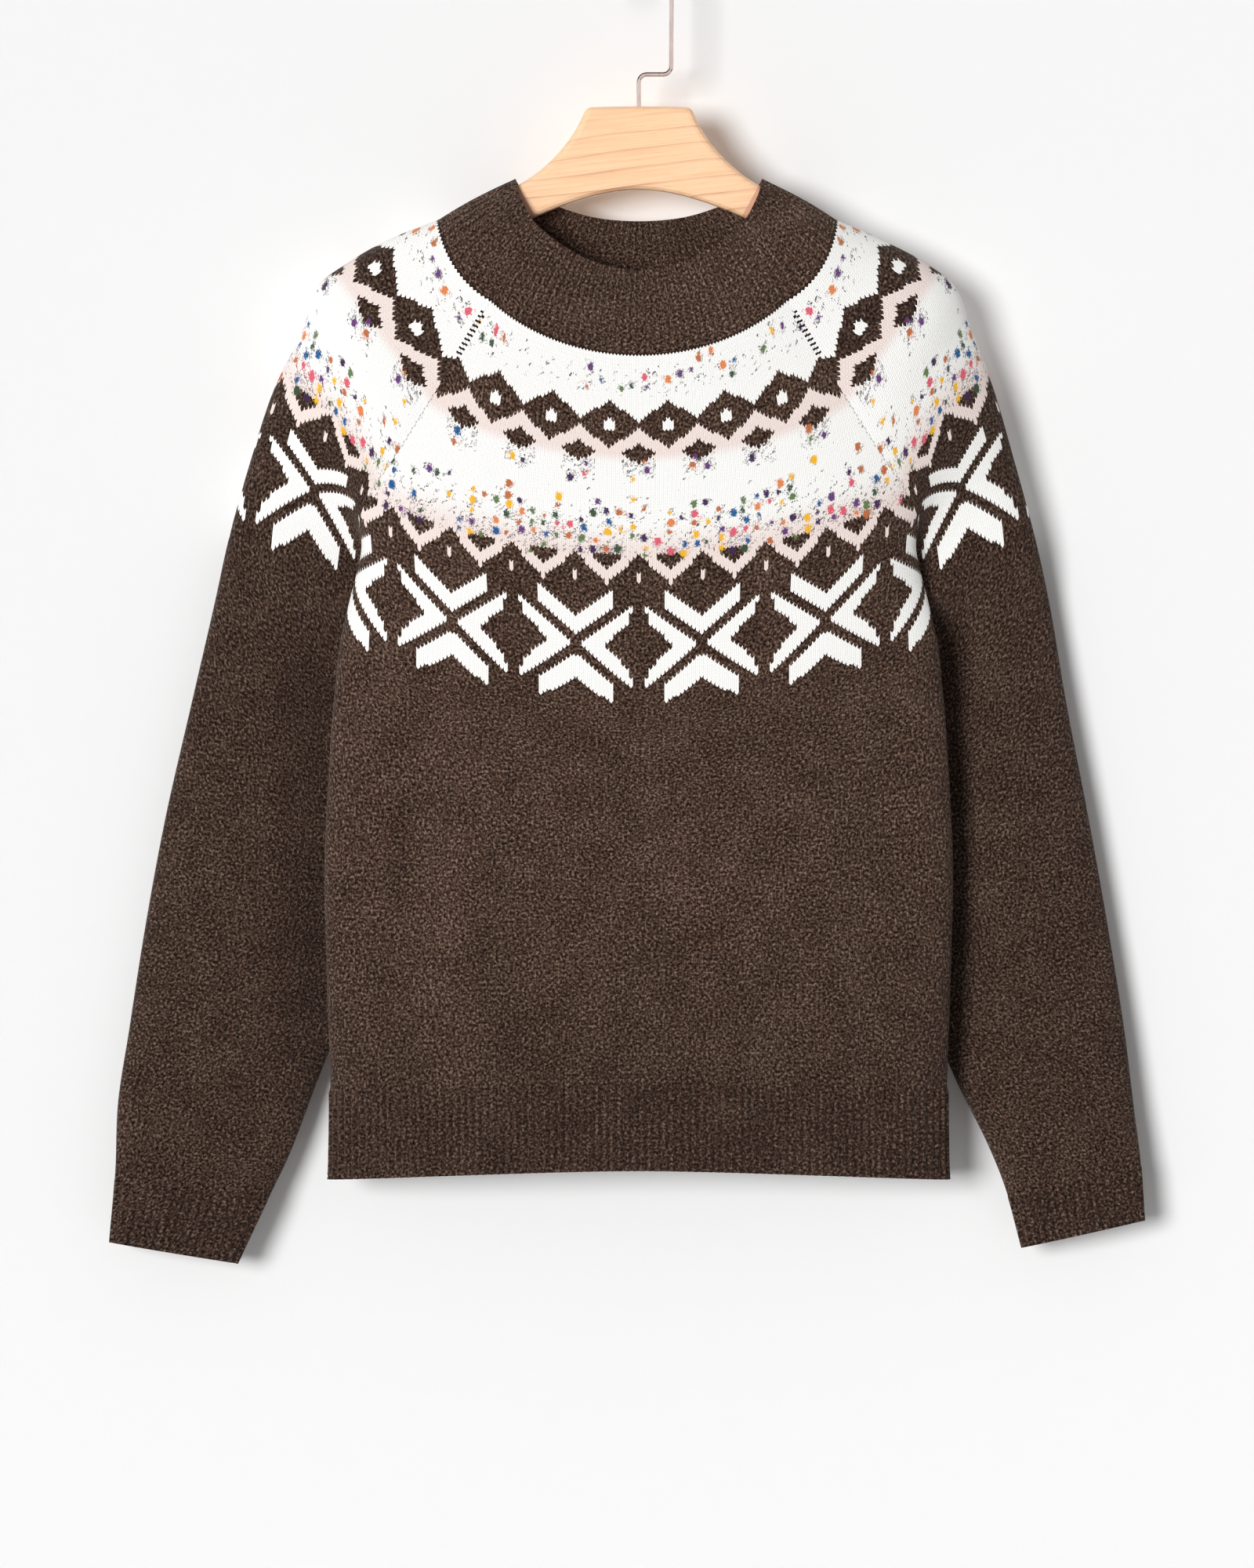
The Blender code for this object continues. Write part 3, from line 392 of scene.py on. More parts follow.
class Panel:
    """The outer net of a panel: rounds by columns of points, with chart coordinates."""

    def __init__(self, name, rib_top, foot, columns, ribs):
        self.name, self.ribs = name, ribs
        self.body = name in ("front", "back")
        self.node = name if self.body else "sleeve_" + name
        self.coarse, self.coarse_chart = row_places(name, foot)
        top_row, foot_row = np.interp([rib_top, foot], self.coarse, self.coarse_chart)
        yoke = even_rows(CHART_TOP, UNDERARM_ROW)
        self.chart = np.concatenate([yoke, even_rows(UNDERARM_ROW, top_row)[1:]])
        starts = top_row + ROW_HIGH * np.arange(1, RIB_STARTS + 1)
        self.band = np.concatenate([starts, np.linspace(starts[-1], foot_row, BAND_ROWS)[1:]])
        self.net = self.rounds(self.chart, columns)
        self.ribbed = self.rounds(self.band, ribs * RIB_COLUMNS)
        if self.body:
            self.ribbed = rounded_corners(self.ribbed)
        self.open_rows = len(self.chart) if self.body else len(yoke)

    def rounds(self, chart, columns):
        """A net with a round at each of these rows of the chart."""
        shares = np.linspace(0, 1, columns // 2 + 1)
        places = np.interp(chart, self.coarse_chart, self.coarse)
        round_at = body_round if self.body else sleeve_round
        return np.array([round_at(self.name, float(at), shares) for at in places])

    def across(self, net, chart):
        """The chart's repeats across each round of the net."""
        repeats = []
        for points, row in zip(net, chart):
            run = run_along(points)
            if self.body:
                from_middle = (run - run[len(run) // 2]) / gauge(GAUGES, row, "width")
                repeats.append(-from_middle if self.name == "back" else from_middle)
            else:
                from_front = run if self.name == "left" else run[-1] - run
                gap = gauge(SLEEVE_GAUGES, row, "from_seam")
                repeats.append(1 + (from_front - gap) / gauge(SLEEVE_GAUGES, row, "width"))
        return np.array(repeats)

    def down(self, chart, across):
        """The chart's row at each point of a net, with the pattern's easing and tilt."""
        table = BODY_EASING if self.body else SLEEVE_EASING
        easing = np.interp(chart, *zip(*table))
        sideways = 0 * across if self.body else np.clip(1 - across, -TILT_REACH, TILT_REACH)
        tilt = SLEEVE_TILT * sideways * np.interp(chart, *zip(*TILTED))[:, None]
        return (chart + easing)[:, None] + tilt

    def from_seam(self, net, chart):
        """How far each point lies from the nearer raglan seam, up to SEAM_SEEN."""
        gaps = np.full(net.shape[:2], SEAM_SEEN)
        for i in np.flatnonzero(chart <= UNDERARM_ROW):
            run = run_along(net[i])
            gaps[i] = np.minimum(np.minimum(run, run[-1] - run), SEAM_SEEN)
        return gaps


def net_normals(net, closed=False):
    """Outward normals of the net's points; a closed net's last column is its first."""
    if closed:
        around = np.concatenate([net[:, -2:-1], net, net[:, 1:2]], axis=1)
        return net_normals(around)[:, 1:-1]
    normals = np.cross(np.gradient(net, axis=0), np.gradient(net, axis=1))
    return normals / np.maximum(np.linalg.norm(normals, axis=2, keepdims=True), 1e-12)


class Fabric:
    """A mesh under construction: points with chart coordinates, and faces between rows of them."""

    def __init__(self):
        self.points, self.chart, self.faces = [], [], []
        self.marks = {"seam": [], "groove": []}
        self.count = 0

    def rows(self, net, across, down, seam=SEAM_SEEN, groove=0.0):
        """Adds the net's points, and returns the numbers of its rows of points."""
        start = self.count
        self.points.append(net.reshape(-1, 3))
        self.chart.append(np.stack([across.ravel(), down.ravel()], axis=1))
        for mark, value in (("seam", seam), ("groove", groove)):
            self.marks[mark].append(np.broadcast_to(value, across.shape).ravel())
        self.count += net.shape[0] * net.shape[1]
        return np.arange(start, self.count).reshape(net.shape[:2])

    def cloth(self, rows, turned=False):
        """Four-sided faces over the rows; turned ones face the other way."""
        a, b, c, d = rows[:-1, :-1], rows[1:, :-1], rows[1:, 1:], rows[:-1, 1:]
        corners = (a, d, c, b) if turned else (a, b, c, d)
        self.faces += np.stack([k.ravel() for k in corners], axis=1).tolist()

    def bridge(self, upper, lower, turned=False):
        """Faces between two rows, which may have different numbers of points."""
        places = np.vstack(self.points)
        above, below = (run_along(places[list(row)]) for row in (upper, lower))
        above, below = above / above[-1], below / below[-1]
        j = k = 0
        while j < len(upper) - 1 or k < len(lower) - 1:
            down = j == len(upper) - 1
            if not down and k < len(lower) - 1:
                down = below[k] + below[k + 1] < above[j] + above[j + 1]
            third = lower[k + 1] if down else upper[j + 1]
            corners = (upper[j], lower[k], third)
            self.faces.append([int(c) for c in (corners[::-1] if turned else corners)])
            j, k = (j, k + 1) if down else (j + 1, k)

    def piece(self, name, slot):
        """The finished object, with touching points joined and sharp rims."""
        mesh = bpy.data.meshes.new(name)
        mesh.from_pydata(np.vstack(self.points), [], self.faces)
        corners = np.zeros(len(mesh.loops), int)
        mesh.loops.foreach_get("vertex_index", corners)
        chart = mesh.uv_layers.new(name="chart")
        chart.data.foreach_set("uv", np.vstack(self.chart)[corners].astype(np.float32).ravel())
        for mark, values in self.marks.items():
            layer = mesh.attributes.new(mark, "FLOAT", "POINT")
            layer.data.foreach_set("value", np.concatenate(values).astype(np.float32))
        item = bpy.data.objects.new(name, mesh)
        bpy.context.scene.collection.objects.link(item)
        bpy.ops.object.select_all(action="DESELECT")
        bpy.context.view_layer.objects.active = item
        item.select_set(True)
        bpy.ops.object.mode_set(mode="EDIT")
        bpy.ops.mesh.select_all(action="SELECT")
        bpy.ops.mesh.remove_doubles(threshold=TOUCHING)
        bpy.ops.object.mode_set(mode="OBJECT")
        bpy.ops.object.shade_smooth_by_angle(angle=math.radians(RIM_ANGLE))
        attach(item, "root")
        return item


def thinned(count):
    """Every few places of a row or column, both ends among them."""
    return np.unique(np.append(np.arange(0, count, INSIDE_STEP), count - 1))


def rib_wave(ribs):
    """How high the ribs stand, from 0 to 1, after this many of them."""
    return 0.5 - 0.5 * np.cos(2 * math.pi * ribs)


def clear_of_seams(panel):
    """The panel's net, with its open side edges set back from the seams."""
    net = panel.net.copy()
    sides = slice(0, panel.open_rows)
    for end, near in ((0, 1), (-1, -2)):
        step = net[sides, near] - net[sides, end]
        net[sides, end] += step / np.linalg.norm(step, axis=1)[:, None] * SEAM_HALF
    return net


def knit_panel(panel, rise):
    """The panel's wall, with raised ribs at its foot, a plain inside and closed rims."""
    fabric = Fabric()
    net = clear_of_seams(panel)
    across = panel.across(panel.net, panel.chart)
    down = panel.down(panel.chart, across)
    outer = fabric.rows(net, across, down, panel.from_seam(panel.net, panel.chart))
    fabric.cloth(outer)

    band_normals = net_normals(panel.ribbed, closed=not panel.body)
    wave = np.array([rib_wave(panel.ribs * run_along(r) / run_along(r)[-1]) for r in panel.ribbed])
    grown = np.minimum(1, np.arange(len(panel.band)) / (RIB_STARTS - 1))[:, None]
    raised = panel.ribbed + band_normals * (wave * grown * rise)[..., None]
    band_across = panel.across(panel.ribbed, panel.band)
    band_down = panel.down(panel.band, band_across)
    band = fabric.rows(raised, band_across, band_down, groove=(1 - wave) * grown)
    fabric.cloth(band)
    fabric.bridge(outer[-1], band[0])

    open_rows = thinned(panel.open_rows)
    closed_rows = thinned(len(net) - panel.open_rows + 1)[1:] + panel.open_rows - 1
    keep = np.ix_(np.concatenate([open_rows, closed_rows]), thinned(net.shape[1]))
    inner = fabric.rows(net[keep] - panel.normals[keep] * WALL, across[keep], down[keep])
    fabric.cloth(inner, turned=True)
    few = thinned(raised.shape[1])
    low_net = (panel.ribbed - band_normals * WALL)[:, few]
    low = fabric.rows(low_net, band_across[:, few], band_down[:, few])
    fabric.cloth(low, turned=True)
    fabric.bridge(inner[-1], low[0], turned=True)

    fabric.bridge(inner[0], outer[0])
    fabric.bridge(low[-1], band[-1], turned=True)
    for edge, turned in ((0, False), (-1, True)):
        outside, inside = outer[: panel.open_rows, edge], inner[: len(open_rows), edge]
        if panel.body:
            outside = np.concatenate([outside, band[:, edge]])
            inside = np.concatenate([inside, low[:, edge]])
        fabric.bridge(outside, inside, turned=turned)
    return fabric


Cut = namedtuple("Cut", "width length area")  # a cloth piece when flat


def net_area(net):
    """The area of a net's faces."""
    one, other = net[1:, 1:] - net[:-1, :-1], net[1:, :-1] - net[:-1, 1:]
    return np.linalg.norm(np.cross(one, other), axis=2).sum() / 2


def cut_of(panel):
    """The panel's flat cut, all round on a tube: its mean width, its length and its area."""
    area = net_area(panel.net) + net_area(panel.ribbed)
    length = (panel.band[-1] - CHART_TOP) * CHART_UNIT
    return Cut(area / length, length, area)


def side_edges(panel):
    """Row, column and place, in whole micrometres, of each point on a panel's open side edges."""
    for i in range(panel.open_rows):
        for j in (0, -1):
            yield i, j, tuple(np.round(panel.net[i, j] * 1e6).astype(int))


def share_seams(panels):
    """Turns the normals of panels that meet at a seam towards each other there."""
    meeting = {}
    for panel in panels:
        panel.normals = net_normals(panel.net)
        if not panel.body:
            panel.normals[panel.open_rows :] = net_normals(panel.net, True)[panel.open_rows :]
        for i, j, place in side_edges(panel):
            meeting.setdefault(place, []).append(panel.normals[i, j])
    for panel in panels:
        for i, j, place in side_edges(panel):
            normal = np.sum(meeting[place], axis=0)
            panel.normals[i, j] = normal / np.linalg.norm(normal)


@lru_cache(maxsize=None)
def jumper_panels():
    """The four panels in the order in which they go about the body, made once."""
    made = [
        Panel("front", HEM_RIB_TOP, HEM_FOOT, BODY_COLUMNS, HEM_RIBS),
        Panel("left", CUFF_RIB_TOP, CUFF_FOOT, SLEEVE_COLUMNS, CUFF_RIBS),
        Panel("back", HEM_RIB_TOP, HEM_FOOT, BODY_COLUMNS, HEM_RIBS),
        Panel("right", CUFF_RIB_TOP, CUFF_FOOT, SLEEVE_COLUMNS, CUFF_RIBS),
    ]
    share_seams(made)
    return made


def brim_point(place):
    """A point of the collar's upper edge; on the wearer's right it is mirrored."""
    side = -1 if place > 4 or place < 0 else 1
    place = 8 - place if place > 4 else abs(place)
    return read(BRIM, place) * (side, 1, 1)


def collar_net(panels):
    """The collar's net from its brim to its seam, closed about the neck, many columns to a rib."""
    foot, brim = [], []
    for panel in panels:
        neck = panel.net[0]
        part = COLLAR_PARTS[panel.name]
        even = np.linspace(0, 1, part.ribs * RIB_COLUMNS + 1)[:-1]
        middle = len(neck) // 2
        first, second = run_along(neck[: middle + 1]), run_along(neck[middle:])
        places = np.concatenate([first[:-1] / first[-1], 1 + second / second[-1]])
        run = run_along(neck)
        foot.append(spread(neck, even))
        brim += [brim_point(part.start + p) for p in np.interp(even, run / run[-1], places)]
    foot, brim = np.vstack(foot), np.array(brim)
    rows = []
    for down in np.linspace(0, 1, COLLAR_ROWS + 1):
        row = brim * (1 - down) + foot * down
        away = row - row.mean(axis=0)
        away[:, 2] *= COLLAR_RISE
        away /= np.linalg.norm(away, axis=1)[:, None]
        rows.append(row + away * COLLAR_BULGE * math.sin(math.pi * down))
    net = np.array(rows)
    return np.concatenate([net, net[:, :1]], axis=1)


def knit_collar(net, rise):
    """The collar's wall between two ribbed faces, with closed rims, and its flat cut."""
    normals = net_normals(net, closed=True)
    net[-1] += (net[-2] - net[-1]) * COLLAR_CLEAR
    columns = net.shape[1]
    ribs = (columns - 1) // RIB_COLUMNS
    wave = rib_wave(ribs * np.arange(columns) / (columns - 1))
    share = np.ones((len(net), 1))
    share[0] = COLLAR_BRIM_RIBS
    sunk = share * (wave - 1) * rise
    around, deep = run_along(net[-1]), np.linalg.norm(net[-1] - net[0], axis=1).mean()
    repeats = around / CHART_UNIT / STITCH_WIDE / STITCHES
    across = np.repeat(repeats[None, :], len(net), axis=0)
    down = np.repeat(np.linspace(0, deep / CHART_UNIT, len(net))[:, None], columns, axis=1)
    fabric = Fabric()
    outside = fabric.rows(net + normals * sunk[..., None], across, down, groove=1 - wave)
    inside_net = net - normals * (COLLAR_WALL + sunk)[..., None]
    inside = fabric.rows(inside_net, across, down, groove=wave)
    fabric.cloth(outside)
    fabric.cloth(inside, turned=True)
    fabric.bridge(inside[0], outside[0])
    fabric.bridge(inside[-1], outside[-1], turned=True)
    width = around[-1] * COLLAR_MEAN
    return fabric, Cut(width, deep, width * deep)


class Wire:
    """A socket's value in a node tree, with arithmetic that adds Math nodes."""

    def __init__(self, tree, socket):
        self.tree, self.socket = tree, socket

    def math(self, operation, *others):
        return maths(self.tree, operation, self, *others)

    def __rsub__(self, other):
        return maths(self.tree, "SUBTRACT", other, self)

    def __neg__(self):
        return self * -1

    __add__ = __radd__ = partialmethod(math, "ADD")
    __sub__ = partialmethod(math, "SUBTRACT")
    __mul__ = __rmul__ = __and__ = partialmethod(math, "MULTIPLY")
    __truediv__ = partialmethod(math, "DIVIDE")
    __pow__ = partialmethod(math, "POWER")
    __lt__ = partialmethod(math, "LESS_THAN")
    __gt__ = partialmethod(math, "GREATER_THAN")
    __or__ = partialmethod(math, "MAXIMUM")
    size = partialmethod(math, "ABSOLUTE")
    floor = partialmethod(math, "FLOOR")
    part = partialmethod(math, "FRACT")
    nearest = partialmethod(math, "ROUND")

    def held(self):
        """The value kept between 0 and 1."""
        return self.math("MAXIMUM", 0).math("MINIMUM", 1)

    def ramp(self, low, high):
        """How far the value has come from low to high, between 0 and 1."""
        return ((self - low) / (high - low)).held()


def maths(tree, operation, *values):
    """The output of a new Math node on these values."""
    node = tree.nodes.new("ShaderNodeMath")
    node.operation = operation
    for slot, value in zip(node.inputs, values):
        plug(tree, slot, value)
    return Wire(tree, node.outputs[0])


def plug(tree, slot, value):
    """Links a wire to a socket, or sets the socket to a value."""
    if isinstance(value, Wire):
        tree.links.new(value.socket, slot)
    elif isinstance(value, tuple) and slot.type == "RGBA":
        slot.default_value = (*value[:3], 1)
    else:
        slot.default_value = value


class Nodes:
    """A node tree, with one method that adds any node but a Math node."""

    def __init__(self, tree):
        self.tree = tree

    def node(self, kind, settings=None, output=0, **inputs):
        """An output of a new node, or all for None; inputs go by name or as i_NUMBER."""
        node = self.tree.nodes.new("ShaderNode" + kind)
        for setting, value in (settings or {}).items():
            if setting in ("stops", "steps"):
                self.fill_ramp(node.color_ramp, value, setting == "steps")
            else:
                setattr(node, setting, value)
        for slot, value in inputs.items():
            by_number = slot.startswith("i_")
            place = int(slot[2:]) if by_number else slot.replace("_", " ")
            plug(self.tree, node.inputs[place], value)
        if output is None:
            return [Wire(self.tree, k) for k in node.outputs]
        return Wire(self.tree, node.outputs[output])

    def fill_ramp(self, ramp, stops, stepped):
        """Sets a colour ramp's stops, smooth from one to the next or stepped."""
        ramp.interpolation = "CONSTANT" if stepped else "LINEAR"
        while len(ramp.elements) < len(stops):
            ramp.elements.new(1)
        for element, (place, colour) in zip(ramp.elements, stops):
            element.position = place
            shade = (colour,) * 3 if isinstance(colour, (int, float)) else colour
            element.color = (*shade, 1)

    def mix(self, share, first, second):
        """One colour laid over another."""
        return self.node("Mix", {"data_type": "RGBA"}, 2, i_0=share, i_6=first, i_7=second)

    def parts(self, vector):
        return self.node("SeparateXYZ", output=None, Vector=vector)

    def joined(self, x, y, z=0.0):
        return self.node("CombineXYZ", X=x, Y=y, Z=z)

    def noise(self, place, scale, detail=2.0, rough=0.5):
        return self.node("TexNoise", Vector=place, Scale=scale, Detail=detail, Roughness=rough)

    def chance(self, place):
        """An even random number for each whole place."""
        return self.node("TexWhiteNoise", {"noise_dimensions": "3D"}, Vector=place)

    def chances(self, place):
        """Three even random numbers for each whole place."""
        return self.parts(self.node("TexWhiteNoise", {"noise_dimensions": "3D"}, 1, Vector=place))

    def other_chances(self, place):
        """Three more of them, which have nothing to do with the first."""
        return self.parts(self.node("TexWhiteNoise", {"noise_dimensions": "4D"}, 1, Vector=place, W=1.0))


class Finish(Nodes):
    """A material, and its Principled shader."""

    def __init__(self, name, **constants):
        self.material = bpy.data.materials.new(name)
        self.material.use_nodes = True
        super().__init__(self.material.node_tree)
        self.shader = self.tree.nodes["Principled BSDF"]
        self.set(**constants)

    def set(self, **values):
        """Sets or links the shader's sockets, named with underscores for spaces."""
        for slot, value in values.items():
            plug(self.tree, self.shader.inputs[slot.replace("_", " ")], value)


WHITE, PINK = srgb(254, 253, 250), srgb(244, 226, 220)
# From the darkest fibres of the brown wool to the lightest.
BROWN = [srgb(*c) for c in ((18, 7, 4), (42, 26, 18), (69, 50, 41), (98, 78, 66), (134, 112, 98))]
# Painted shade: the dark colour mixed into the ribs' grooves and towards the bottom of the jumper.
PAINTED_SHADE = srgb(20, 11, 8)
GROOVE_PAINTED_SHADE = 0.35  # how much painted shade darkens the wool at the bottom of a rib's groove
FIBRE_CONTRAST, DRIFT_CONTRAST = 1.65, 0.35
PAINTED_SHADE_DOWN = (0.58, 0.74)  # painted shade: how far down the jumper the brown begins to darken, and is darkest
DYES = [
    srgb(104, 62, 122), srgb(30, 92, 148), srgb(232, 136, 78), srgb(250, 188, 40), srgb(228, 96, 116),
    srgb(98, 126, 78), srgb(196, 112, 66), srgb(66, 42, 84), srgb(60, 84, 62),
]
SPECK, THREAD = srgb(62, 48, 62), srgb(40, 30, 34)

# The yoke's chart, in rows down. A corner is 0 at whole repeats and 1 half way between them.
CHAIN_ROW, CHAIN_HALF, CHAIN_SWELL = 541, 4.5, 26  # a chain of diamonds, and what the corner adds
FLOWER_ROW, FLOWERS_REACH = 542, 3  # a flower in each diamond, within these repeats of the middle
FLOWER_PETALS = [(1.7, 5), (0.9, 8.5)]  # half the width in stitches, and half the height
SMALL_ROW, SMALL_WIDE, SMALL_HIGH = 578, 0.58, 13.5  # small diamonds under the chain's narrow places
PINK_ENDS = (578, 590)  # the pink under the chain fades here
LOW_PINK = (668, 702)  # and the pink above the brown ground grows here
GROUND_ROW, GROUND_FALLS = 704, 37  # the ground's edge, and how much lower the corner takes it
HALF_CLEAR = 16  # the half diamonds in its dips end this far above it
TICK_WIDE, TICK_ROWS = 0.05, (726, 738)  # a pink tick in each of the ground's points
STAR_ROW = 818
STAR_ARM = 9.9  # half the width of a star's upper and lower arms, in stitches
Arms = namedtuple("Arms", "near near_slope far far_slope")  # rows from its middle, and more for each stitch
STAR_TOP, STAR_FOOT = Arms(10, 3.9, 35, 3.8), Arms(14, 3.45, 42, 3.55)
# How far the collar's brown comes down, and how much further at a stitch's sides.
COLLAR_LOOP, COLLAR_LOOP_SIDES = 1.0, 2.6

# Dyed dots lie in loose columns and dark specks on a finer net: the share of places that hold one.
DOT_COLUMNS = 5  # in a repeat
DOT_WIDE, DOT_ROW = 16, 12.0  # from one dot's place to the next, in chart rows
SPECK_COLUMNS, SPECK_ROW = 1.5, 3.1  # in a stitch, and in chart rows
DOT_SHARES = [
    (462, 0.0), (470, 0.26), (494, 0.26), (502, 0.0), (580, 0.0), (586, 0.5),
    (606, 0.3), (616, 0.05), (640, 0.2), (656, 0.55), (704, 0.6), (712, 0.0),
]
SPECK_SHARES = [
    (464, 0.0), (474, 0.10), (500, 0.08), (508, 0.0), (582, 0.0), (588, 0.55),
    (604, 0.35), (616, 0.0), (655, 0.03), (672, 0.16), (704, 0.24), (712, 0.0),
]
SHARE_ROWS = (CHART_TOP, 741)
CLEAR_ROWS, CLEAR_CORNER = (575, 625), 0.55  # no dots or specks lie here, between the small diamonds
OVER_HALF, OVER_HALF_ROWS, OVER_HALF_CORNER = 0.45, (686, 702), 0.58  # more specks over half diamonds
SPECKS_END, DOTS_END, DOTS_FALL = 707, 703, 33  # the last row of each, and what the corner adds for dots
HALO, HALO_DEPTHS = 0.42, (-8, -1)  # specks crowd round the dots
Stitching = namedtuple("Stitching", "step share reach top foot")
LINKING = Stitching(5.6, 0.42, 0.0021, 468, 524)
TACKING, TACKING_SHOWS = Stitching(9, 0.3, 0.0007, 560, 700), 0.45


def stitch_grid(repeats, chart):
    """Where a point lies in its stitch, side to side and along, and the stitch's column and row."""
    column = repeats * STITCHES + 0.5
    side = (column.part() - 0.5).size() * 2
    slant = chart / ROW_HIGH - 0.75 * (1 - side)
    return side, slant.part(), column.floor(), slant.floor()


def star_arms(half, across, down, arms):
    """Two arms of a star in its upper or lower half, between two slanting edges."""
    below = down > arms.near + arms.near_slope * across
    return half & (across < STAR_ARM) & below & (down < arms.far + arms.far_slope * across)


def star_chart(x, y):
    """An eight-pointed star in every second repeat: four arms up and down, and four to the sides."""
    pair = (x - 1) / 2
    across = (pair - pair.nearest()).size() * 2 * STITCHES
    level = y - STAR_ROW
    down = level.size()
    top = star_arms(level < 0, across, down, STAR_TOP)
    foot = star_arms(level > 0, across, down, STAR_FOOT)
    tips = across < 13.3 + (down - 26) * 0.05
    sides = (down < (across - 0.8) * 3.7) & (down > (across - 6.9) * 4.25) & tips
    return top | foot | sides


def yoke_chart(column, row):
    """Masks of the yoke's brown and pink stitches, and the corner that each column lies at."""
    x = column / STITCHES
    y = (row + 0.9) * ROW_HIGH
    corner = (x - x.nearest()).size() * 2
    chain_edge = CHAIN_HALF + CHAIN_SWELL * corner
    chain = (y - CHAIN_ROW).size() < chain_edge
    stitch, level = (1 - corner) * (STITCHES / 2), (y - FLOWER_ROW).size()
    petals = [(stitch < wide) & (level < high) for wide, high in FLOWER_PETALS]
    flower = (petals[0] | petals[1]) & (x.size() < FLOWERS_REACH)
    small = (corner / SMALL_WIDE + (y - SMALL_ROW).size() / SMALL_HIGH) < 1
    pink = (y - CHAIN_ROW - chain_edge > 0) & (1 - y.ramp(*PINK_ENDS))
    ground_edge = GROUND_ROW + GROUND_FALLS * corner
    ground = y > ground_edge
    half = (y > GROUND_ROW) & (corner > 0.5) & (y < ground_edge - HALF_CLEAR)
    low_pink = y.ramp(*LOW_PINK) & (1 - ground)
    tick = (corner < TICK_WIDE) & (y > TICK_ROWS[0]) & (y < TICK_ROWS[1])
    on_ground = ground & (1 - tick) & (1 - star_chart(x, y))
    brown = (chain & (1 - flower)) | small | (half & (1 - ground)) | on_ground
    return brown.held(), pink | low_pink | tick, corner


def wool_brown(finish, place, flat, shade, low_shade):
    """Heathered brown: fine light and dark fibres over a slow drift of tone, and painted shade that darkens
    it low down.
    """
    x, y, _ = finish.parts(flat)
    fibres = finish.noise(flat, 0.27, 1.0) + finish.noise(finish.joined(y, x, 9.0), 0.33, 1.0)
    drift = finish.noise(place, 45.0, 3.0)
    mixed = ((fibres - 1) * FIBRE_CONTRAST + 0.5 + (drift - 0.5) * DRIFT_CONTRAST).held()
    # shade scales the brown: painted light on the collar, painted shade on the sleeves
    stops = [(k / 4, tuple(c * shade for c in brown)) for k, brown in enumerate(BROWN)]
    brown = finish.node("ValToRGB", {"stops": stops}, Fac=mixed)
    # painted shade: the brown is darkened towards the bottom of the jumper
    low = (-finish.parts(place)[2]).ramp(*PAINTED_SHADE_DOWN)
    return finish.mix(low * (1 - low_shade), brown, PAINTED_SHADE)


def stitch_relief(finish, side, along, flat):
    """The bump of V stitches, two rounded legs to each, under a fine fuzz."""
    leg, dip = (side - 0.5).size() * 2, (along - 0.5).size() * 2
    height = (1 - leg * leg).held() ** 0.5 * (1 - dip * dip * 0.75)
    fuzz = finish.noise(flat, 0.45, 3.0, 0.7)
    return finish.node("Bump", Strength=0.55, Distance=0.0011, Height=height * 0.75 + fuzz * 0.45)


def wool(name, patterned, shade, low_shade):
    """Knitted wool: V stitches on the chart, brown all over or with the coloured yoke, with painted shade
    in the ribs' grooves and towards the bottom of the jumper.
    """
    finish = Finish(
        name, Roughness=0.95, Specular_IOR_Level=0.12, Sheen_Weight=0.1,
        Sheen_Roughness=0.5, Sheen_Tint=(1.0, 0.93, 0.86),
    )
    repeats, chart, _ = finish.parts(finish.node("UVMap", {"uv_map": "chart"}))
    place = finish.node("TexCoord", output="Object")
    side, along, column, row = stitch_grid(repeats, chart)
    flat = finish.joined(repeats * STITCHES * STITCH_WIDE, chart)
    colour = wool_brown(finish, place, flat, shade, low_shade)
    if patterned:
        colour = yoke_colours(finish, repeats, chart, yoke_chart(column, row), flat, colour)
        loops = chart < CHART_TOP + COLLAR_LOOP + COLLAR_LOOP_SIDES * side
        colour = finish.mix(loops, colour, BROWN[1])
        colour = raglan_dashes(finish, chart, colour)
    # painted shade at the bottom of each rib's groove
    groove = finish.node("Attribute", {"attribute_name": "groove"}, "Fac")
    colour = finish.mix(groove ** 4 * GROOVE_PAINTED_SHADE, colour, PAINTED_SHADE)
    finish.set(Base_Color=colour, Normal=stitch_relief(finish, side, along, flat))
    return finish.material


def seam_stitches(chart, gap, stitching):
    """Short stitches across a seam, one in every step, between two rows of the chart."""
    stitch = ((chart / stitching.step).part() < stitching.share) & (gap < stitching.reach)
    return stitch & (chart > stitching.top) & (chart < stitching.foot)


def raglan_dashes(finish, chart, colour):
    """Dark linking stitches across the top of each raglan seam, and a faint line below them."""
    gap = finish.node("Attribute", {"attribute_name": "seam"}, "Fac")
    linking, tacking = (seam_stitches(chart, gap, k) for k in (LINKING, TACKING))
    return finish.mix((linking + tacking * TACKING_SHOWS).held(), colour, THREAD)


def share_down(finish, level, shares):
    """The share of places that hold a dot or a speck at this row of the chart."""
    low, high = SHARE_ROWS
    stops = [((row - low) / (high - low), share) for row, share in shares]
    return finish.node("ValToRGB", {"stops": stops}, Fac=level.ramp(low, high))


def clear_between_small(level, corner):
    """0 between the small diamonds, where nothing is sprinkled, and 1 elsewhere."""
    first, last = CLEAR_ROWS
    return 1 - (level > first) * (level < last) * (corner > CLEAR_CORNER)


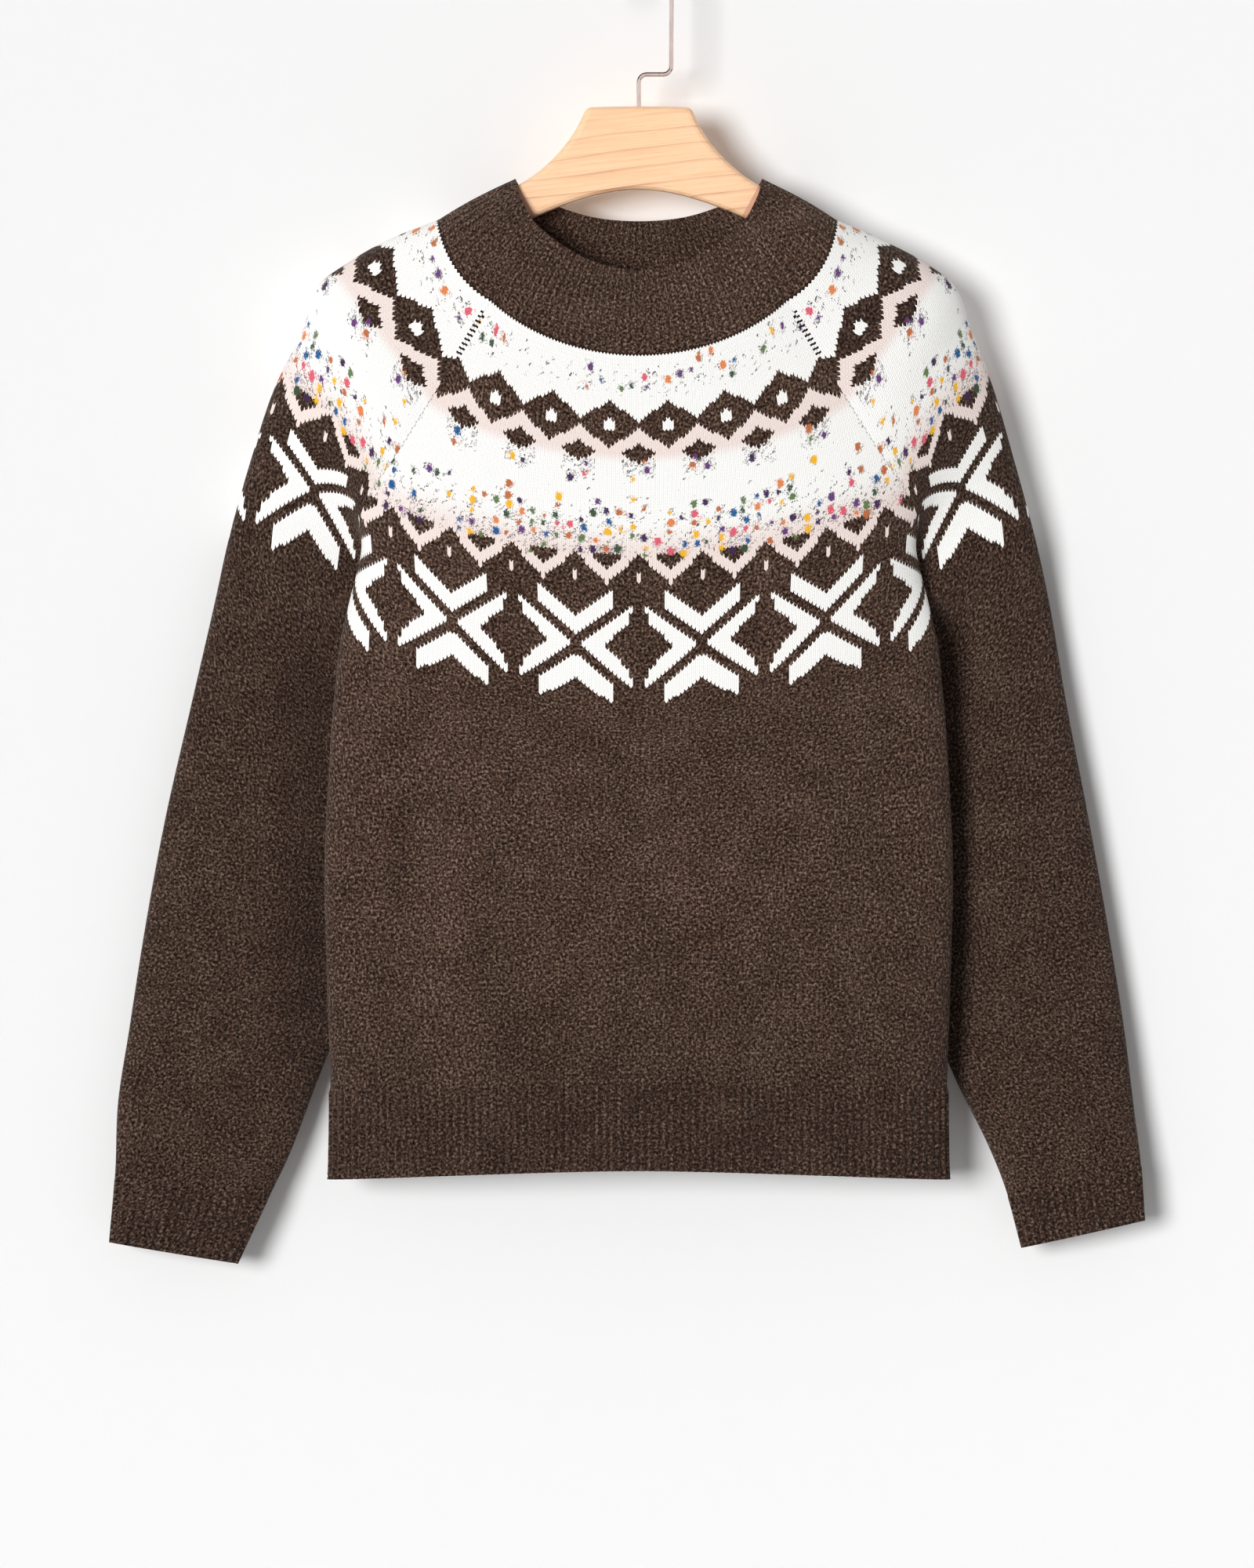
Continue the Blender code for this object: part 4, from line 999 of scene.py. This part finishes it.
def dye_dots(finish, repeats, chart, flat):
    """Ragged dots of dyed wool in loose columns: how far inside one a point lies, and the dye."""
    column = repeats * DOT_COLUMNS
    slide = finish.chance(finish.joined(column.floor(), 7.0, 5.0))
    line = chart / DOT_ROW + slide
    cell = finish.joined(column.floor(), line.floor(), 7.0)
    lot, shift = finish.chances(cell), finish.other_chances(cell)
    away_x = (column.part() - 0.5) * DOT_WIDE + (shift[0] - 0.5) * 6
    away_y = ((line.part() - 0.5) * DOT_ROW + (shift[1] - 0.5) * 4) * 0.85
    ragged = finish.noise(flat, 0.38, 1.0)
    away = (away_x * away_x + away_y * away_y) ** 0.5 + (ragged - 0.5) * 7
    radius = 2.2 + shift[2] * 2.6
    middle_x = (column.floor() + 0.5) / DOT_COLUMNS
    middle_y = (line.floor() + 0.5 - slide) * DOT_ROW
    corner = (middle_x - middle_x.nearest()).size() * 2
    share = share_down(finish, middle_y, DOT_SHARES) * clear_between_small(middle_y, corner)
    steps = [((k + 0.001) / len(DYES), dye) for k, dye in enumerate(DYES)]
    dye = finish.node("ValToRGB", {"steps": steps}, Fac=lot[1])
    return (radius - away) * (lot[0] < share) - 20 * (lot[0] > share), dye


def specks(finish, repeats, chart, corner, flat, cloud, depth, dye):
    """Small flecks, dark or dyed, thicker round the dots: where they are, how strong, and the colour."""
    share = share_down(finish, chart, SPECK_SHARES) * clear_between_small(chart, corner)
    over_half = (corner > OVER_HALF_CORNER) * chart.ramp(*OVER_HALF_ROWS) * (chart < SPECKS_END)
    halo = depth.ramp(*HALO_DEPTHS) * HALO
    stray = finish.noise(flat, 0.22, 1.0) - 0.5
    cell_x = repeats * STITCHES * SPECK_COLUMNS + stray * 4
    cell_y = chart / SPECK_ROW - stray * 3 + cloud * 2
    lot = finish.chances(finish.joined(cell_x.floor(), cell_y.floor(), 3.0))
    speck = lot[0] < share + over_half * OVER_HALF + halo
    slide_x, slide_y = (lot[2] * 31).part() - 0.5, (lot[1] * 37).part() - 0.5
    speck = speck & ((cell_x.part() - 0.5 - slide_x * 0.4).size() < 0.28 + lot[2] * 0.08)
    speck = speck & ((cell_y.part() - 0.5 - slide_y * 0.3).size() < 0.24 + lot[1] * 0.2)
    shade = finish.mix((lot[1] < 0.5) * depth.ramp(-8, -7), SPECK, dye)
    return speck * (0.45 + lot[2] * 0.5), shade


def yoke_colours(finish, repeats, chart, masks, flat, brown_wool):
    """The yoke's pattern: white, pink and brown stitches, with specks and dots of dyed wool."""
    brown, pink, corner = masks
    colours = bpy.context.scene.jumper_colours
    cloud = finish.noise(flat, 0.3, 2.0)
    colour = finish.mix((pink * (0.6 + cloud * 0.7)).held(), tuple(colours.white), tuple(colours.pink))
    depth, dye = dye_dots(finish, repeats, chart, flat)
    speck, speck_shade = specks(finish, repeats, chart, corner, flat, cloud, depth, dye)
    colour = finish.mix(speck, colour, speck_shade)
    colour = finish.mix(brown, colour, brown_wool)
    dots = depth.ramp(-0.6, 1.0) * (1 - (chart > DOTS_END + DOTS_FALL * corner))
    mottle = finish.noise(flat, 0.6, 1.0)
    return finish.mix((dots * (0.72 + mottle * 0.55)).held(), colour, dye)


# One brown wool in three copies: the second number paints light on the collar and shade on the sleeves, the
# third paints shade low down, none at 1.
Wool = namedtuple("Wool", "patterned shade low_shade")
WOOLS = {
    "body_wool": Wool(True, 1.0, 0.77),
    "sleeve_wool": Wool(True, 0.79, 0.97),
    "collar_wool": Wool(False, 1.22, 1.0),
}


def shared_wool(name):
    """The wool of this name, made once; the pieces are copies of one wool, painted lighter and deeper than
    each other as light and shade.
    """
    return bpy.data.materials.get(name) or wool(name, *WOOLS[name])


WOOD = [srgb(246, 196, 154), srgb(253, 206, 164), srgb(255, 214, 176)]
# The cut ends' colour: pinker end grain, darkened with painted shade of the facet there.
RING, CUT_END_AND_SHADE = srgb(192, 134, 100), srgb(214, 152, 126)
RING_SPACING, RING_SLOPE, RING_SWAY = 0.0110, 0.115, 0.006
END_X, END_Z, END_SLOPE = 0.0755, 0.1430, 0.55  # the line across each end of the board's middle
END_WIDE = 0.0045
WIRE_SHADES = [srgb(224, 200, 192), srgb(246, 228, 222)]
BACKDROP = srgb(237, 237, 237)


def beech(name):
    """Pale varnished beech: thin darker rings that rise along the board, fine pores, pinker cut ends with
    painted shade.
    """
    finish = Finish(name, Roughness=0.5, Specular_IOR_Level=0.25)
    x, y, z = finish.parts(finish.node("TexCoord", output="Object"))
    sway = finish.noise(finish.joined(x * 11, y * 60, z * 22), 1.0, 1.0)
    rise = z - x * RING_SLOPE
    depth = (rise + y * 0.35 + (sway - 0.5) * RING_SWAY) / RING_SPACING
    lot = finish.chance(finish.joined(depth.floor(), 4.0, 2.0))
    fade = finish.noise(finish.joined(x * 26, y * 60, z * 60), 1.0, 2.0)
    ring = depth.part().ramp(0.74, 1.0) ** 2 * (0.35 + lot * 0.8) * (fade * 1.8 - 0.25).held()
    grain = finish.noise(finish.joined(x * 14 + z * 2, y * 500, rise * 620), 1.0, 4.0, 0.65)
    pores = finish.noise(finish.joined(x * 120, y * 900, rise * 1500), 1.0, 1.0)
    stops = list(zip((0.34, 0.5, 0.66), WOOD))
    shade = finish.node("ValToRGB", {"stops": stops}, Fac=grain)
    shade = finish.mix(ring.held() * 0.8, shade, RING)
    shade = finish.mix(pores.ramp(0.62, 0.74) * 0.16, shade, RING)
    # a strip across each cut end: pinker end grain and painted shade of the facet there
    beyond = x.size() - END_X - (z + END_Z) * END_SLOPE
    cut_end_and_shade = beyond.ramp(0, 0.0006) * (1 - beyond.ramp(END_WIDE, END_WIDE + 0.001))
    shade = finish.mix(cut_end_and_shade * (0.72 + fade * 0.2), shade, CUT_END_AND_SHADE)
    bump = finish.node("Bump", Strength=0.1, Distance=0.0003, Height=grain)
    finish.set(Base_Color=shade, Normal=bump)
    return finish.material


def bright_wire(name):
    """Polished plated steel, a little warm, with faint drawing lines along the wire."""
    finish = Finish(name, Metallic=1.0, Specular_IOR_Level=0.5)
    x, y, z = finish.parts(finish.node("TexCoord", output="Object"))
    streaks = finish.noise(finish.joined(x * 400, y * 400, z * 90), 1.0, 2.0)
    colour = finish.mix(streaks.ramp(0.3, 0.7), *WIRE_SHADES)
    finish.set(Base_Color=colour, Roughness=0.13 + streaks * 0.1)
    return finish.material


def a_length(name, description, default):
    return bpy.props.FloatProperty(name=name, description=description, default=default, unit="LENGTH")


def a_colour(name, description, default):
    return bpy.props.FloatVectorProperty(
        name=name, description=description, default=default, subtype="COLOR")


class JumperSizes(bpy.types.PropertyGroup):
    rib_rise: a_length("Rib rise", "How far a rib stands out", 0.0014)
    neck_rib_rise: a_length("Collar rib rise", "How far a rib of the collar stands out", 0.0011)
    backdrop_gap: a_length("Backdrop gap", "From the hook to the wall behind", 0.045)
    camera_away: a_length("Camera distance", "From the hook's plane to the camera", 6.0)


class JumperColours(bpy.types.PropertyGroup):
    white: a_colour("White wool", "The ground of the yoke", WHITE)
    pink: a_colour("Pink wool", "The borders of the yoke's pattern", PINK)
    backdrop: a_colour("Backdrop", "The wall and the floor", BACKDROP)


def knit(name, rise, wool_name):
    """Makes a panel's piece, gives it its wool, and hides the CAD node that it stands for."""
    panel = next(p for p in jumper_panels() if p.name == name)
    item = knit_panel(panel, rise).piece("knit_" + panel.node, "knitted_wool")
    dress(item, panel.node, wool_name, cut_of(panel))


def dress(item, cad_node, wool_name, cut):
    """Gives a cloth piece its wool, and hides the CAD node that it stands for; cut, the size it was cut to,
    is not used.
    """
    item.data.materials.append(shared_wool(wool_name))
    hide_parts(cad_node)


class JUMPER_OT_body(bpy.types.Operator):
    """Knits the front and the back, with their ribbed hems."""

    bl_idname = "jumper.body"
    bl_label = "Front and back"

    def execute(self, context):
        for name in ("front", "back"):
            rise = context.scene.jumper_sizes.rib_rise
            knit(name, rise, "body_wool")
        return {"FINISHED"}


class JUMPER_OT_sleeves(bpy.types.Operator):
    """Knits the two raglan sleeves, with their ribbed cuffs."""

    bl_idname = "jumper.sleeves"
    bl_label = "Sleeves"

    def execute(self, context):
        for side in ("right", "left"):
            knit(side, context.scene.jumper_sizes.rib_rise, "sleeve_wool")
        return {"FINISHED"}


class JUMPER_OT_collar(bpy.types.Operator):
    """Knits the ribbed collar, raised on both faces."""

    bl_idname = "jumper.collar"
    bl_label = "Collar"

    def execute(self, context):
        fabric, cut = knit_collar(collar_net(jumper_panels()), context.scene.jumper_sizes.neck_rib_rise)
        item = fabric.piece("knit_collar", "ribbed_wool")
        dress(item, "collar", "collar_wool", cut)
        return {"FINISHED"}


class JUMPER_OT_hanger(bpy.types.Operator):
    """Gives the board and the hook their wood and metal."""

    bl_idname = "jumper.hanger"
    bl_label = "Hanger and hook"

    def execute(self, context):
        for node, material in (("hanger", beech("beech_board")), ("hook", bright_wire("bright_wire"))):
            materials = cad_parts[node].data.materials
            materials.clear()
            materials.append(material)
        return {"FINISHED"}


Sun = namedtuple("Sun", "name toward spread power")
SUNS = [Sun("key", (-0.5, -1.0, 0.06), 0.40, 2.72), Sun("behind", (0.2, 1.0, 0.0), 0.5, 1.7)]
FILL, FILL_COLOUR = 0.3, srgb(247, 247, 247)
WALLS_SEEN, WALLS_END = 0.75, (0.1, 0.4)  # the walls that polished metal sees, and how high they reach
BACKDROP_HALF, FLOOR_Z = 4.0, -1.9
WALL_LEAN = 0.011  # the wall comes this much nearer for each metre down
FRAME_HIGH = 1.0  # the height of the view at the hook's plane
FRAME_MIDDLE = (-0.0075, -0.523)


def soft_sun(sun):
    """A broad even light that shines from the given direction."""
    light = bpy.data.lights.new(sun.name, "SUN")
    light.energy = sun.power
    light.angle = sun.spread
    lamp = bpy.data.objects.new(sun.name, light)
    bpy.context.scene.collection.objects.link(lamp)
    lamp.rotation_euler = mathutils.Vector(sun.toward).to_track_quat("Z", "Y").to_euler()


def studio_world(name):
    """Even pale fill; polished metal also sees bright walls between a dark floor and ceiling."""
    world = bpy.data.worlds.new(name)
    world.use_nodes = True
    nodes = Nodes(world.node_tree)
    background = nodes.tree.nodes["Background"].inputs
    glossy = nodes.node("LightPath", output="Is Glossy Ray")
    tilt = nodes.parts(nodes.node("TexCoord", output="Generated"))[2].size()
    seen = WALLS_SEEN * (1 - tilt.ramp(*WALLS_END)) + FILL * 0.2
    plug(nodes.tree, background["Color"], FILL_COLOUR)
    plug(nodes.tree, background["Strength"], seen * glossy + FILL * (1 - glossy))
    return world


def pale_backdrop(colour):
    """Matt and pale; clear from behind, and to shadows, so that the lamp behind lights the back."""
    pale = Finish("pale_backdrop", Base_Color=colour, Roughness=1.0, Specular_IOR_Level=0.0)
    behind = pale.node("NewGeometry", output="Backfacing")
    to_lamps = pale.node("LightPath", output="Is Shadow Ray")
    matt, clear = Wire(pale.tree, pale.shader.outputs[0]), pale.node("BsdfTransparent")
    surface = pale.node("MixShader", i_0=behind | to_lamps, i_1=matt, i_2=clear)
    plug(pale.tree, pale.tree.nodes["Material Output"].inputs["Surface"], surface)
    return pale.material


def backdrop_sheet(name, near, far, material):
    """A broad sheet between two level edges, each at a y and a z."""
    half = BACKDROP_HALF
    mesh = bpy.data.meshes.new(name)
    mesh.from_pydata([(-half, *near), (half, *near), (half, *far), (-half, *far)], [], [(0, 1, 2, 3)])
    mesh.materials.append(material)
    sheet = bpy.data.objects.new(name, mesh)
    bpy.context.scene.collection.objects.link(sheet)


def front_camera(away):
    """A long lens that faces the jumper squarely."""
    camera = bpy.data.cameras.new("camera")
    camera.sensor_width = 36
    camera.lens = camera.sensor_width * away / FRAME_HIGH
    view = bpy.data.objects.new("camera", camera)
    bpy.context.scene.collection.objects.link(view)
    view.location = (FRAME_MIDDLE[0], -away, FRAME_MIDDLE[1])
    view.rotation_euler = (math.pi / 2, 0, 0)
    return view


class JUMPER_OT_stage(bpy.types.Operator):
    """Sets the pale wall and floor, the soft lights and the camera."""

    bl_idname = "jumper.stage"
    bl_label = "Stage"

    def execute(self, context):
        scene, sizes = context.scene, context.scene.jumper_sizes
        scene.world = studio_world("studio")
        scene.view_settings.view_transform = "Standard"
        pale = pale_backdrop(tuple(scene.jumper_colours.backdrop))
        top, foot = ((sizes.backdrop_gap + WALL_LEAN * z, z) for z in (BACKDROP_HALF, FLOOR_Z))
        backdrop_sheet("backdrop", foot, top, pale)
        backdrop_sheet("floor", (-BACKDROP_HALF, FLOOR_Z), foot, pale)
        for sun in SUNS:
            soft_sun(sun)
        scene.camera = front_camera(sizes.camera_away)
        return {"FINISHED"}


OPERATORS = (JUMPER_OT_body, JUMPER_OT_sleeves, JUMPER_OT_collar, JUMPER_OT_hanger, JUMPER_OT_stage)


class JUMPER_PT_panel(bpy.types.Panel):
    """Lists the jumper's sizes, colours and pieces."""

    bl_idname = "JUMPER_PT_panel"
    bl_label = "Jumper"
    bl_space_type = "VIEW_3D"
    bl_region_type = "UI"
    bl_category = "Jumper"

    def draw(self, context):
        for group in (context.scene.jumper_sizes, context.scene.jumper_colours):
            for name in type(group).__annotations__:
                self.layout.prop(group, name)
        for operator in OPERATORS:
            self.layout.operator(operator.bl_idname)


CLASSES = (JumperSizes, JumperColours, *OPERATORS, JUMPER_PT_panel)


def register():
    for kind in CLASSES:
        bpy.utils.register_class(kind)
    bpy.types.Scene.jumper_sizes = bpy.props.PointerProperty(type=JumperSizes)
    bpy.types.Scene.jumper_colours = bpy.props.PointerProperty(type=JumperColours)


def unregister():
    del bpy.types.Scene.jumper_sizes
    del bpy.types.Scene.jumper_colours
    for kind in reversed(CLASSES):
        bpy.utils.unregister_class(kind)


def main():
    register()
    bpy.ops.jumper.body()
    bpy.ops.jumper.sleeves()
    bpy.ops.jumper.collar()
    bpy.ops.jumper.hanger()
    bpy.ops.jumper.stage()


if __name__ == "__main__":
    main()
